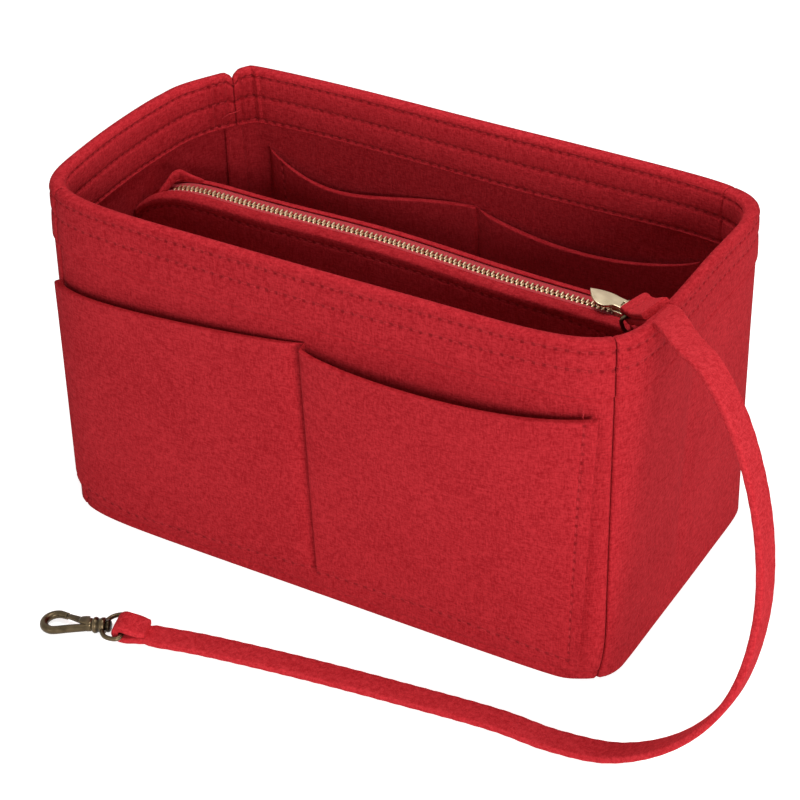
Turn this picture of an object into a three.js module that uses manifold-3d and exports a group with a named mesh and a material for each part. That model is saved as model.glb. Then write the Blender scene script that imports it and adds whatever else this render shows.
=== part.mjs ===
import * as THREE from 'three';
import Module from 'manifold-3d';

const wasm = await Module();
wasm.setup();

// Felt, clearances and the body of the organizer, in millimetres
const FELT = 2.5;
const FIT = 0.3;
const HEIGHT = 163;
const HEM_DEPTH = 29;
const HEM_THICK = 2 * FELT + 0.2;
const FOOT = { right: 129, left: 140.5, front: 71, back: 76, powers: [9, 13, 13.5, 8] };
const RIM = { right: 136.3, left: 139.4, front: 72, back: 67.4, powers: [7.2, 6.2, 8.6, 9] };
const REAR_FOLD = { x: -119, y: 68.5, toX: -133, toY: 41, ease: 6 };

// Places of the corner seams, as turns of one side each from the front left corner round the wall
const SEAM_TURN = { frontLeft: 0, frontRight: 1.03, rearRight: 2, rearLeft: 3 };
const SIDE_LENGTH = { long: 245, short: 130 };

// Patch pockets outside the front wall and inside the back wall
const OUTER_TURN = { from: 0.003, middle: 0.49, to: 0.994 };
const INNER_TURN = { from: 2.059, middle: 2.507, to: 2.929 };
const OUTER_POCKET = { foot: 12, start: 120, centre: 130, finish: 132.7 };
const INNER_POCKET = { foot: FELT + FIT, start: 124, centre: 119.7, finish: 123.5 };
const OUTER_MOUTHS = [{ dip: 0.5, gape: 6.8, skew: 0.88 }, { dip: 4.5, gape: 6.8, skew: 0.8 }];
const INNER_MOUTHS = [{ dip: 9.2, gape: 6.8, skew: 0.86 }, { dip: 9.8, gape: 7.6, skew: 1.84 }];
const STRIP_TURN = { rear: 0.014, side: 0.028 };
const SEAM_STRIP_THICK = 1.5;

// Zipped pouch that divides the organizer
const POUCH_LEFT = -136;
const POUCH_RIGHT = 114;
const POUCH_PLACE = { back: 3, degrees: -1.15 };
const POUCH_HALF_DEPTH = 9;
const POUCH_TOP = 132.2;
const POUCH_END_POWER = 14;
const POUCH_FALL = { leftLong: 17.5, left: 15, rightLong: 6, right: 4 };
const TAPE_THICK = 0.8;
const ZIP_GAP_HALF = 4.8;
const STRIP_THICK = 2;
const STRIP_SLOPE = 0.62;
const CHAIN_HALF = 3;
const CHAIN_SLOT_HALF = 0.6;
const CHAIN_TALL = 2.4;
const BEAD_WIDE = 0.8;
const TOOTH_PITCH = 2.3;
const TOOTH_WIDE = 1.3;
const ZIP_LEFT = -109;
const ZIP_RIGHT = POUCH_RIGHT - 9;
const END_TAB = { left: -120, rise: 7.8, root: 1.4, thick: 2 * FELT + 0.4 };

// Zip slider and its leaf shaped pull
const SLIDER = { long: 9.5, half: 4.3, plate: 1.2, lip: 0.9, web: 0.3, inBy: 8.9 };
const BAIL = { offset: 2.5, half: 3.2, leg: 1.2, wide: 2.4, window: 2.4, bar: 1.2 };
const PULL = { long: 17, front: 7.4, back: 3.4, thick: 1.2, pin: 0.8, neckHalf: 3.2 };
const PULL_EYE = { long: 4, half: 1.7 };
const PULL_RAISE_DEGREES = 10;
const EDGE_ROUND = 0.85;

// Strap, the ring that holds it and the tab of the ring
const STRAP_WIDE = 12;
const STRAP_THICK = 3;
const STRAP_ROUTE = [
  [114.8, -14.0, 144.5],
  [122.3, -24.6, 154.3],
  [130.6, -35.6, 164.2],
  [138.6, -45.3, 166.9],
  [151.5, -54.0, 167.4],
  [167.9, -64.8, 164.5],
  [186.9, -78.6, 149.2],
  [200.5, -89.9, 122.1],
  [204.7, -97.5, 88.5],
  [197.0, -101.9, 51.7],
  [178.9, -104.4, 24.7],
  [152.5, -105.9, 7.2],
  [125.6, -106.5, 2.3],
  [101.4, -106.2, 1.9],
  [58.0, -110.6, 1.8],
  [14.2, -116.2, 1.8],
  [-29.7, -123.5, 1.8],
  [-47.0, -127.9, 2.1],
  [-61.5, -132.0, 3.15],
];
const STRAP_STEPS = 84;
const RING_END_TAIL = 42;
const CLASP_END_TAIL = 16;
const LOOP_EASE = 8;
const RING_BAR = new THREE.Vector3(0.56, 0.75, 0.34).normalize();
const RING = { wire: 1, half: 8, tall: 14.5, lean: new THREE.Vector3(-0.25, 0.19, -0.94) };
const RING_TAB = { wide: 8, thick: 2, legs: 14 };

// Swivel snap hook at the free end of the strap
const CLASP_AIM = new THREE.Vector3(-0.952, -0.296, -0.068).normalize();
const EYE = { wire: 1, half: 8, reach: 9.3 };
const COLLAR = { from: 8.2, to: 13.8, radius: 3.5 };
const SHANK = { radius: 1.6, head: 2.7, headLong: 1.7 };
const HOOK = { bar: 1.9, end: 28.2, round: 5.2, armTip: 24.6, neckAt: 16, neckHalf: 1.6 };
const HOOK_BASE = { to: 20, half: 3.4, tall: 2.3, noseHalf: 2.4, swell: 2.5, chamfer: 1.5 };
const GATE = { x: 17.8, y: -1.6, knuckle: 1.5, thick: 1.8, tipHalf: 0.9 };
const GATE_PIN = 0.6;

const LOOKS = {
  felt: { color: 0xb81723, roughness: 0.95, metalness: 0 },
  tape: { color: 0x9c1420, roughness: 0.9, metalness: 0 },
  gold: { color: 0xd9b98a, roughness: 0.3, metalness: 1 },
  bronze: { color: 0x6b543a, roughness: 0.4, metalness: 1 },
};

const organizer = new THREE.Group();

function add(name, geometry, look, parent = organizer) {
  const mesh = new THREE.Mesh(geometry, new THREE.MeshStandardMaterial(LOOKS[look]));
  mesh.name = name;
  parent.add(mesh);
  return mesh;
}

// Closed surface from points and triangles, turned so that its faces look outwards
function closedSurface(points, faces) {
  let volume = 0;
  for (const [a, b, c] of faces) {
    volume += points[a].dot(new THREE.Vector3().crossVectors(points[b], points[c]));
  }
  const index = faces.flatMap(([a, b, c]) => (volume > 0 ? [a, b, c] : [a, c, b]));
  const geometry = new THREE.BufferGeometry();
  geometry.setFromPoints(points);
  geometry.setIndex(index);
  geometry.computeVertexNormals();
  return geometry;
}

// Lofts rings of points that all have the same count, with flat ends or closed on itself
function loft(rings, endFaces) {
  const count = rings[0].length;
  const points = rings.flat();
  const faces = [];
  const spans = endFaces ? rings.length - 1 : rings.length;
  for (let i = 0; i < spans; i += 1) {
    const here = i * count;
    const next = ((i + 1) % rings.length) * count;
    for (let j = 0; j < count; j += 1) {
      const k = (j + 1) % count;
      faces.push([here + j, here + k, next + k], [here + j, next + k, next + j]);
    }
  }
  if (endFaces) {
    const last = (rings.length - 1) * count;
    const ends = endFaces === 'fan' ? fan(count) : endFaces;
    for (const [a, b, c] of ends.start) {
      faces.push([a, c, b]);
    }
    for (const [a, b, c] of ends.finish) {
      faces.push([last + a, last + b, last + c]);
    }
  }
  return closedSurface(points, faces);
}

function fan(count) {
  const faces = [];
  for (let j = 1; j < count - 1; j += 1) {
    faces.push([0, j, j + 1]);
  }
  return { start: faces, finish: faces };
}

// Joins and cuts
function toSolid(geometry) {
  const place = geometry.getAttribute('position');
  const source = geometry.getIndex();
  const order = source ? Array.from(source.array) : Array.from({ length: place.count }, (_, i) => i);
  const seen = new Map();
  const vertices = [];
  const triangles = order.map((i) => {
    const key = [place.getX(i), place.getY(i), place.getZ(i)].map((v) => Math.round(v * 1e4)).join();
    if (!seen.has(key)) {
      seen.set(key, seen.size);
      vertices.push(place.getX(i), place.getY(i), place.getZ(i));
    }
    return seen.get(key);
  });
  const kept = [];
  for (let i = 0; i < triangles.length; i += 3) {
    const [a, b, c] = triangles.slice(i, i + 3);
    if (a !== b && b !== c && c !== a) {
      kept.push(a, b, c);
    }
  }
  const mesh = new wasm.Mesh({
    numProp: 3,
    vertProperties: new Float32Array(vertices),
    triVerts: new Uint32Array(kept),
  });
  return new wasm.Manifold(mesh);
}

function toGeometry(solid) {
  const mesh = solid.getMesh();
  const geometry = new THREE.BufferGeometry();
  geometry.setAttribute('position', new THREE.BufferAttribute(new Float32Array(mesh.vertProperties), 3));
  geometry.setIndex(Array.from(mesh.triVerts));
  geometry.computeVertexNormals();
  return geometry;
}

function joined(parts, cuts = []) {
  let solid = toSolid(parts[0]);
  for (const part of parts.slice(1)) {
    solid = solid.add(toSolid(part));
  }
  for (const cut of cuts) {
    solid = solid.subtract(toSolid(cut));
  }
  return toGeometry(solid);
}

function moved(geometry, x, y, z) {
  return geometry.translate(x, y, z);
}

function rod(radius, from, to, axis, sides = 20) {
  const geometry = new THREE.CylinderGeometry(radius, radius, to - from, sides);
  if (axis === 'x') {
    geometry.rotateZ(-Math.PI / 2);
    return moved(geometry, (from + to) / 2, 0, 0);
  }
  geometry.rotateX(Math.PI / 2);
  return moved(geometry, 0, 0, (from + to) / 2);
}

function plate(outline, from, to) {
  const shape = Array.isArray(outline) ? new THREE.Shape(outline) : outline;
  const depth = to - from;
  const geometry = new THREE.ExtrudeGeometry(shape, { depth, bevelEnabled: false, curveSegments: 10 });
  return moved(geometry, 0, 0, from);
}

// One corner of the wall loop: how far along it a side reaches before the next side takes over
function cornerReach(power) {
  return 2 ** (-1 / power);
}

function rounded(part, power) {
  return (1 - part ** power) ** (1 / power);
}

// Point of a level loop, with each corner a quarter of a superellipse of its own power
function loopPoint(level, side, along, inset) {
  const second = along >= 0.5;
  const corner = (side + (second ? 1 : 0)) % 4;
  const power = level.powers[corner];
  const part = cornerReach(power) * Math.abs(2 * along - 1);
  const across = side % 2 === 0;
  const signX = corner === 1 || corner === 2 ? 1 : -1;
  const signY = corner >= 2 ? 1 : -1;
  const a = (signX > 0 ? level.right : level.left) - inset;
  const b = (signY > 0 ? level.back : level.front) - inset;
  const x = signX * a * (across ? part : rounded(part, power));
  const y = signY * b * (across ? rounded(part, power) : part);
  return new THREE.Vector2(x, y);
}

// The rear left corner of the rim is drawn in between two soft creases
function drawnIn(point, inset) {
  const chord = new THREE.Vector2(REAR_FOLD.toX - REAR_FOLD.x, REAR_FOLD.toY - REAR_FOLD.y).normalize();
  const out = new THREE.Vector2(chord.y, -chord.x);
  const limit = out.x * REAR_FOLD.x + out.y * REAR_FOLD.y - inset;
  const past = out.dot(point) - limit;
  const over = (past + Math.hypot(past, REAR_FOLD.ease)) / 2;
  return point.clone().addScaledVector(out, -over);
}

// Stations of one side, closer together towards its corners
function stations(side) {
  const count = side % 2 === 0 ? 10 : 7;
  const list = [];
  for (let i = -count; i < count; i += 1) {
    list.push(side + 0.5 + 0.5 * Math.sin((Math.PI / 2) * (i / count)));
  }
  return list;
}

const STATIONS = [0, 1, 2, 3].flatMap(stations);

function stationPoint(w, z, inset) {
  const turn = ((w % 4) + 4) % 4;
  const side = Math.floor(turn);
  const foot = loopPoint(FOOT, side, turn - side, inset);
  const rim = drawnIn(loopPoint(RIM, side, turn - side, inset), inset);
  return foot.lerp(rim, z / HEIGHT);
}

// Point of the wall at any place round it, on the flat between two stations
function wallPoint(w, z, inset) {
  const turn = ((w % 4) + 4) % 4;
  const last = STATIONS.length - 1;
  const found = STATIONS.findLastIndex((s) => s <= turn + 1e-9);
  const low = STATIONS[found];
  const high = found === last ? 4 : STATIONS[found + 1];
  const from = stationPoint(low, z, inset);
  const to = stationPoint(high === 4 ? 0 : high, z, inset);
  const flat = from.lerp(to, (turn - low) / (high - low));
  return new THREE.Vector3(flat.x, flat.y, z);
}

// All stations between two places round the wall, with the two places themselves
function span(from, to, extra = []) {
  const list = [from, to, ...extra];
  for (let turn = -1; turn <= 1; turn += 1) {
    list.push(...STATIONS.map((s) => s + 4 * turn));
  }
  const kept = list.filter((w) => w >= from - 1e-9 && w <= to + 1e-9).sort((a, b) => a - b);
  return kept.filter((w, i) => i === 0 || w - kept[i - 1] > 1e-4);
}

// Sweeps a section of inset and height along the wall
function wallPiece(places, section) {
  const rings = places.map((w) => section(w).map(([inset, z]) => wallPoint(w, z, inset)));
  const capOf = (w) => {
    const outline = section(w).map(([inset, z]) => new THREE.Vector2(inset, z));
    const faces = THREE.ShapeUtils.triangulateShape(outline, []);
    return THREE.ShapeUtils.isClockWise(outline) ? faces.map(([a, b, c]) => [a, c, b]) : faces;
  };
  return loft(rings, { start: capOf(places[0]), finish: capOf(places[places.length - 1]) });
}

// Wall panel with its top edge folded inwards as a hem
function hemmedSection() {
  const half = HEM_THICK / 2;
  const points = [[0, 0]];
  for (let i = 0; i <= 6; i += 1) {
    const turn = (Math.PI * i) / 6;
    points.push([half - half * Math.cos(turn), HEIGHT - half + half * Math.sin(turn)]);
  }
  points.push([HEM_THICK, HEIGHT - HEM_DEPTH], [FELT, HEIGHT - HEM_DEPTH], [FELT, 0]);
  return points;
}

function wallPanel(from, to) {
  const gap = (w) => FIT / 2 / (Math.round(w) % 2 === 0 ? SIDE_LENGTH.short : SIDE_LENGTH.long);
  return wallPiece(span(from + gap(from), to - gap(to)), hemmedSection);
}

add('front_panel', wallPanel(SEAM_TURN.frontLeft, SEAM_TURN.frontRight), 'felt');
add('right_gusset', wallPanel(SEAM_TURN.frontRight, SEAM_TURN.rearRight), 'felt');
add('back_panel', wallPanel(SEAM_TURN.rearRight, SEAM_TURN.rearLeft), 'felt');
add('left_gusset', wallPanel(SEAM_TURN.rearLeft, 4 + SEAM_TURN.frontLeft), 'felt');

// Base panel inside the foot of the walls
function basePanel() {
  const ring = (z) => STATIONS.map((w) => wallPoint(w, z, FELT + FIT));
  return loft([ring(0), ring(FELT)], 'fan');
}

add('base_panel', basePanel(), 'felt');

// Two pockets from one panel, sewn at both ends, along the foot and down the middle
function pocketShare(turn, w) {
  const first = w < turn.middle;
  const start = first ? turn.from : turn.middle;
  const finish = first ? turn.middle : turn.to;
  return { first, share: (w - start) / (finish - start) };
}

function pocketTop(pocket, turn, mouths, w) {
  const { first, share } = pocketShare(turn, w);
  const start = first ? pocket.start : pocket.centre;
  const finish = first ? pocket.centre : pocket.finish;
  const { dip, skew } = mouths[first ? 0 : 1];
  return start + (finish - start) * share - dip * Math.max(0, Math.sin(Math.PI * share ** skew)) ** 0.8;
}

function pocketGape(turn, mouths, w, rise) {
  const { first, share } = pocketShare(turn, w);
  const { gape, skew } = mouths[first ? 0 : 1];
  return gape * Math.max(0, Math.sin(Math.PI * share ** skew)) ** 0.6 * rise ** 0.75;
}

function pocketPanel(pocket, turn, mouths, insetOf) {
  const rows = 6;
  const columns = 14;
  const places = [turn.middle];
  for (let i = 1; i < columns; i += 1) {
    places.push(turn.from + ((turn.middle - turn.from) * i) / columns);
    places.push(turn.middle + ((turn.to - turn.middle) * i) / columns);
  }
  const section = (w) => {
    const top = pocketTop(pocket, turn, mouths, w);
    const near = [];
    const far = [];
    for (let i = 0; i <= rows; i += 1) {
      const rise = i / rows;
      const z = pocket.foot + (top - pocket.foot) * rise;
      const gape = pocketGape(turn, mouths, w, rise);
      near.push([insetOf(gape), z]);
      far.unshift([insetOf(gape + FELT), z]);
    }
    return near.concat(far);
  };
  return wallPiece(span(turn.from, turn.to, places), section);
}

const outerPocket = pocketPanel(OUTER_POCKET, OUTER_TURN, OUTER_MOUTHS, (off) => -FIT - off);
const innerPocket = pocketPanel(INNER_POCKET, INNER_TURN, INNER_MOUTHS, (off) => FELT + FIT + off);
add('outer_pocket_panel', outerPocket, 'felt');
add('inner_pocket_panel', innerPocket, 'felt');

// Strip that covers the rear left seam inside
const stripFoot = FELT + FIT;
const stripTop = HEIGHT - HEM_DEPTH - FIT;
const stripNear = FELT + FIT;
const seamStrip = wallPiece(
  span(SEAM_TURN.rearLeft - STRIP_TURN.rear, SEAM_TURN.rearLeft + STRIP_TURN.side),
  () => [
    [stripNear, stripFoot],
    [stripNear, stripTop],
    [stripNear + SEAM_STRIP_THICK, stripTop],
    [stripNear + SEAM_STRIP_THICK, stripFoot],
  ],
);
add('rear_seam_strip', seamStrip, 'felt');

// Plan of the pouch: long and flat with blunt round ends
const POUCH_MIDDLE = (POUCH_LEFT + POUCH_RIGHT) / 2;
const POUCH_HALF_LONG = (POUCH_RIGHT - POUCH_LEFT) / 2;

function pouchPoint(turn, inset, side) {
  const part = Math.sign(Math.sin(turn)) * Math.abs(Math.sin(turn)) ** (2 / POUCH_END_POWER);
  const x = POUCH_MIDDLE + (POUCH_HALF_LONG - inset) * part;
  return new THREE.Vector2(x, side * (POUCH_HALF_DEPTH - inset) * Math.cos(turn));
}

// Points of the plan on one side, from the left end to the right, no nearer the middle than a line
function pouchEdge(inset, line, side, steps = 28) {
  const most = Math.acos(line / (POUCH_HALF_DEPTH - inset));
  const list = [];
  for (let i = 0; i <= steps; i += 1) {
    list.push(pouchPoint(most * ((2 * i) / steps - 1), inset, side));
  }
  return list;
}

// How far the top of the pouch falls towards its ends, and how steeply
function pouchFall(x) {
  const left = Math.max(0, POUCH_LEFT + POUCH_FALL.leftLong - x) / POUCH_FALL.leftLong;
  const right = Math.max(0, x - POUCH_RIGHT + POUCH_FALL.rightLong) / POUCH_FALL.rightLong;
  const drop = POUCH_FALL.left * left ** 2 + POUCH_FALL.right * right ** 2;
  const slopeLeft = (2 * POUCH_FALL.left * left) / POUCH_FALL.leftLong;
  const slopeRight = (2 * POUCH_FALL.right * right) / POUCH_FALL.rightLong;
  return { drop, slant: Math.hypot(1, slopeLeft + slopeRight) };
}

// Height of the sloping top of the pouch, which falls beside the zip and towards both ends
function pouchCrest(x, y) {
  return POUCH_TOP - pouchFall(x).drop - STRIP_SLOPE * Math.max(0, Math.abs(y) - ZIP_GAP_HALF);
}

// Band through lines of the plan from the outside to the zip, with its foot and top at given heights
function pouchBand(lines, footAt, topAt) {
  const rings = lines[0].map((_, i) => {
    const across = lines.map((line) => line[i]);
    const high = across.map(({ x, y }) => new THREE.Vector3(x, y, topAt(x, y)));
    const low = across.map(({ x, y }) => new THREE.Vector3(x, y, footAt(x, y)));
    return high.concat(low.reverse());
  });
  return loft(rings, 'fan');
}

function pouchPanel(side) {
  const lines = [pouchEdge(0, FIT / 2, side), pouchEdge(FELT, FIT / 2, side)];
  return pouchBand(lines, () => FELT + FIT, pouchCrest);
}

// Layer on the pouch between its plan and a straight line beside the zip, bent where the slope starts
function pouchLayer(inset, line, side, rise, thick) {
  const outside = pouchEdge(inset, line + 2 * FIT, side);
  const inside = outside.map(({ x }) => new THREE.Vector2(x, side * line));
  const lines = [outside, inside];
  if (line < ZIP_GAP_HALF) {
    const bend = ({ y }) => Math.max(line + FIT, Math.min(ZIP_GAP_HALF, Math.abs(y) - FIT));
    lines.splice(1, 0, outside.map((point) => new THREE.Vector2(point.x, side * bend(point))));
  }
  const footAt = (x, y) => pouchCrest(x, y) + rise * pouchFall(x).slant;
  return pouchBand(lines, footAt, (x, y) => footAt(x, y) + thick * pouchFall(x).slant);
}

const pouch = new THREE.Group();
pouch.position.y = POUCH_PLACE.back;
pouch.rotation.z = THREE.MathUtils.degToRad(POUCH_PLACE.degrees);
organizer.add(pouch);

const stripBottom = POUCH_TOP + FIT;
const STRIP_TOP = stripBottom + STRIP_THICK;
for (const [place, side] of [['front', -1], ['back', 1]]) {
  add(`pouch_${place}_panel`, pouchPanel(side), 'felt', pouch);
  add(`zip_strip_${place}`, pouchLayer(0, ZIP_GAP_HALF, side, FIT, STRIP_THICK), 'felt', pouch);
  const tape = pouchLayer(FELT + FIT, CHAIN_HALF + FIT, side, -TAPE_THICK, TAPE_THICK);
  add(`zip_tape_${place}`, tape, 'tape', pouch);
}

// One row of zip teeth standing on the bead of its tape
const CHAIN_MIDDLE = POUCH_TOP - TAPE_THICK / 2;
const CHAIN_FOOT = CHAIN_MIDDLE - CHAIN_TALL / 2;
const CHAIN_TOP = CHAIN_MIDDLE + CHAIN_TALL / 2;

function teethRow(side) {
  const outer = side * CHAIN_HALF;
  const root = side * (CHAIN_HALF - BEAD_WIDE);
  const tip = side * CHAIN_SLOT_HALF;
  const stagger = side > 0 ? TOOTH_PITCH / 2 : 0;
  const count = Math.floor((ZIP_RIGHT - ZIP_LEFT - TOOTH_PITCH) / TOOTH_PITCH);
  const outline = [new THREE.Vector2(ZIP_RIGHT, outer), new THREE.Vector2(ZIP_LEFT, outer)];
  outline.push(new THREE.Vector2(ZIP_LEFT, root));
  for (let i = 0; i < count; i += 1) {
    const from = ZIP_LEFT + stagger + TOOTH_PITCH * (i + 0.2);
    outline.push(new THREE.Vector2(from, root), new THREE.Vector2(from, tip));
    outline.push(new THREE.Vector2(from + TOOTH_WIDE, tip), new THREE.Vector2(from + TOOTH_WIDE, root));
  }
  outline.push(new THREE.Vector2(ZIP_RIGHT, root));
  return plate(outline, CHAIN_FOOT, CHAIN_TOP);
}

add('zip_teeth_front', teethRow(-1), 'gold', pouch);
add('zip_teeth_back', teethRow(1), 'gold', pouch);

// Folded end of the zip, pinched up between the two strips
function endTab() {
  const low = ZIP_GAP_HALF - FIT;
  const high = END_TAB.thick / 2;
  const tall = STRIP_TOP + END_TAB.rise;
  const half = [[low, stripBottom], [low, STRIP_TOP - STRIP_THICK / 4], [high, STRIP_TOP + END_TAB.root]];
  half.push([high, tall - high], [high * 0.7, tall - high * 0.3], [0, tall]);
  const mirror = half.slice(0, -1).reverse().map(([y, z]) => [-y, z]);
  const outline = half.concat(mirror).map(([y, z]) => new THREE.Vector2(y, z));
  const geometry = plate(outline, 0, ZIP_LEFT - FIT - END_TAB.left);
  geometry.rotateX(Math.PI / 2);
  geometry.rotateZ(Math.PI / 2);
  return moved(geometry, END_TAB.left, 0, 0);
}

add('zip_end_tab', endTab(), 'felt', pouch);

// Slider: two plates round the chain, a web in the slot between the rows and a bail on top
const sliderX = POUCH_RIGHT - SLIDER.inBy - SLIDER.long / 2;
const plateFoot = CHAIN_TOP + FIT;
const plateTop = plateFoot + SLIDER.plate;
const floorTop = CHAIN_FOOT - FIT;
const floorFoot = floorTop - SLIDER.plate;
const HINGE_Z = plateTop + BAIL.window / 2;

function sliderBody() {
  const lipIn = SLIDER.half - SLIDER.lip;
  const half = [[0, floorFoot], [SLIDER.half, floorFoot], [SLIDER.half, POUCH_TOP - TAPE_THICK - FIT]];
  half.push([lipIn, POUCH_TOP - TAPE_THICK - FIT], [lipIn, floorTop], [SLIDER.web, floorTop]);
  half.push([SLIDER.web, plateFoot], [lipIn, plateFoot], [lipIn, POUCH_TOP + FIT]);
  half.push([SLIDER.half, POUCH_TOP + FIT], [SLIDER.half, plateTop], [0, plateTop]);
  const mirror = half.slice(1, -1).reverse().map(([y, z]) => [-y, z]);
  const outline = half.concat(mirror).map(([y, z]) => new THREE.Vector2(y, z));
  const geometry = plate(outline, -SLIDER.long / 2, SLIDER.long / 2);
  geometry.rotateX(Math.PI / 2);
  return geometry.rotateZ(Math.PI / 2);
}

function sliderBail() {
  const foot = plateTop - SLIDER.plate / 3;
  const top = plateTop + BAIL.window + BAIL.bar;
  const inner = BAIL.half - BAIL.leg;
  const arch = new THREE.Shape();
  arch.moveTo(-BAIL.half, foot);
  arch.lineTo(-inner, foot);
  arch.lineTo(-inner, plateTop + BAIL.window);
  arch.lineTo(inner, plateTop + BAIL.window);
  arch.lineTo(inner, foot);
  arch.lineTo(BAIL.half, foot);
  arch.lineTo(BAIL.half, top - EDGE_ROUND);
  arch.quadraticCurveTo(BAIL.half, top, BAIL.half - EDGE_ROUND, top);
  arch.lineTo(-BAIL.half + EDGE_ROUND, top);
  arch.quadraticCurveTo(-BAIL.half, top, -BAIL.half, top - EDGE_ROUND);
  const geometry = plate(arch, -BAIL.wide / 2, BAIL.wide / 2);
  geometry.rotateX(Math.PI / 2);
  return moved(geometry, Math.min(BAIL.offset, SLIDER.long / 2 - BAIL.half), 0, 0);
}

const slider = new THREE.Group();
slider.position.set(sliderX, 0, 0);
pouch.add(slider);
add('zip_slider', joined([sliderBody(), sliderBail()]), 'gold', slider);

// Leaf shaped pull with an eye whose end bar runs under the bail
function pullLeaf() {
  const leaf = new THREE.Shape();
  const eyeEnd = -PULL.pin - PULL_EYE.long;
  const { pin, front, back, neckHalf, long } = PULL;
  const shoulder = eyeEnd - PULL_EYE.long * 0.75;
  const waist = -long * 0.72;
  leaf.moveTo(pin, -neckHalf + EDGE_ROUND);
  leaf.quadraticCurveTo(pin, -neckHalf, pin - EDGE_ROUND, -neckHalf);
  leaf.lineTo(eyeEnd, -neckHalf);
  leaf.bezierCurveTo(shoulder, -front * 1.15, waist, -front, -long, back / 6);
  leaf.bezierCurveTo(waist, back * 0.95, shoulder, back * 1.1, eyeEnd, neckHalf);
  leaf.lineTo(pin - EDGE_ROUND, neckHalf);
  leaf.quadraticCurveTo(pin, neckHalf, pin, neckHalf - EDGE_ROUND);
  const eye = new THREE.Path();
  eye.moveTo(-PULL.pin, -PULL_EYE.half);
  eye.lineTo(-PULL.pin, PULL_EYE.half);
  eye.lineTo(eyeEnd, PULL_EYE.half);
  eye.lineTo(eyeEnd, -PULL_EYE.half);
  leaf.holes.push(eye);
  return plate(leaf, -PULL.thick / 2, PULL.thick / 2);
}

const pull = add('pull_tab', pullLeaf(), 'gold', slider);
pull.position.set(Math.min(BAIL.offset, SLIDER.long / 2 - BAIL.half), 0, HINGE_Z);
pull.rotation.y = THREE.MathUtils.degToRad(PULL_RAISE_DEGREES);

// Route of the strap and the directions across it
const routePoints = STRAP_ROUTE.map((place) => new THREE.Vector3(...place));
const route = new THREE.CatmullRomCurve3(routePoints, false, 'centripetal');
route.arcLengthDivisions = 800;
const STRAP_LONG = route.getLength();
const LAYER = STRAP_THICK + FIT;

function strapFrame(s) {
  const part = Math.min(Math.max(s / STRAP_LONG, 0), 1);
  const along = route.getTangentAt(part);
  const place = route.getPointAt(part).addScaledVector(along, s - part * STRAP_LONG);
  const level = new THREE.Vector3(0, 1, 0).addScaledVector(along, -along.y).normalize();
  const held = RING_BAR.clone().addScaledVector(along, -along.dot(RING_BAR)).normalize();
  const ease = THREE.MathUtils.smoothstep(s, LOOP_EASE, LOOP_EASE + RING_END_TAIL);
  const across = held.lerp(level, ease).normalize();
  const normal = new THREE.Vector3().crossVectors(along, across).normalize();
  return { place, along, across, normal };
}

// Middle line of the strap as distance and height off the route, folded back round a bar at each end
function foldedEnd(wire, tail, bend) {
  const turn = wire + FIT + STRAP_THICK / 2;
  const middle = LAYER / 2;
  const list = [];
  for (let i = 0; i <= 6; i += 1) {
    list.push([tail + (LOOP_EASE - tail) * (i / 6), LAYER]);
  }
  const lift = middle + turn - LAYER;
  for (let i = 1; i < 4; i += 1) {
    const share = i / 4;
    list.push([LOOP_EASE * (1 - share), LAYER + lift * THREE.MathUtils.smoothstep(share, 0, 1)]);
  }
  for (let i = 0; i <= bend; i += 1) {
    const angle = Math.PI / 2 + (Math.PI * i) / bend;
    list.push([turn * Math.cos(angle), middle + turn * Math.sin(angle)]);
  }
  for (let i = 1; i < 4; i += 1) {
    const share = i / 4;
    list.push([LOOP_EASE * share, (middle - turn) * (1 - THREE.MathUtils.smoothstep(share, 0, 1))]);
  }
  return list;
}

function strapLine() {
  const start = foldedEnd(RING.wire, RING_END_TAIL, 10);
  const finish = foldedEnd(EYE.wire, CLASP_END_TAIL, 10).map(([s, n]) => [STRAP_LONG - s, -n]).reverse();
  const middle = [];
  for (let i = 0; i <= STRAP_STEPS; i += 1) {
    middle.push([LOOP_EASE + ((STRAP_LONG - 2 * LOOP_EASE) * i) / STRAP_STEPS, 0]);
  }
  return start.concat(middle, finish);
}

function strapRings() {
  const line = strapLine();
  return line.map(([s, n], i) => {
    const before = line[Math.max(i - 1, 0)];
    const after = line[Math.min(i + 1, line.length - 1)];
    const step = new THREE.Vector2(after[0] - before[0], after[1] - before[1]).normalize();
    const corner = (up, side) => {
      const off = (up * STRAP_THICK) / 2;
      const frame = strapFrame(s - step.y * off);
      const point = frame.place.addScaledVector(frame.normal, n + step.x * off);
      return point.addScaledVector(frame.across, (side * STRAP_WIDE) / 2);
    };
    return [corner(1, 1), corner(1, -1), corner(-1, -1), corner(-1, 1)];
  });
}

add('key_strap', loft(strapRings(), 'fan'), 'felt');

// Closed wire ring in a plane, round at its foot and straight along its bar
function wireRing(points, wire, flatNormal, sides = 8) {
  const count = points.length;
  const rings = points.map((point, i) => {
    const ahead = points[(i + 1) % count].clone().sub(points[(i + count - 1) % count]).normalize();
    const out = new THREE.Vector3().crossVectors(ahead, flatNormal).normalize();
    const ring = [];
    for (let j = 0; j < sides; j += 1) {
      const angle = (2 * Math.PI * j) / sides;
      const spot = point.clone().addScaledVector(out, wire * Math.cos(angle));
      ring.push(spot.addScaledVector(flatNormal, wire * Math.sin(angle)));
    }
    return ring;
  });
  return loft(rings, null);
}

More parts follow.
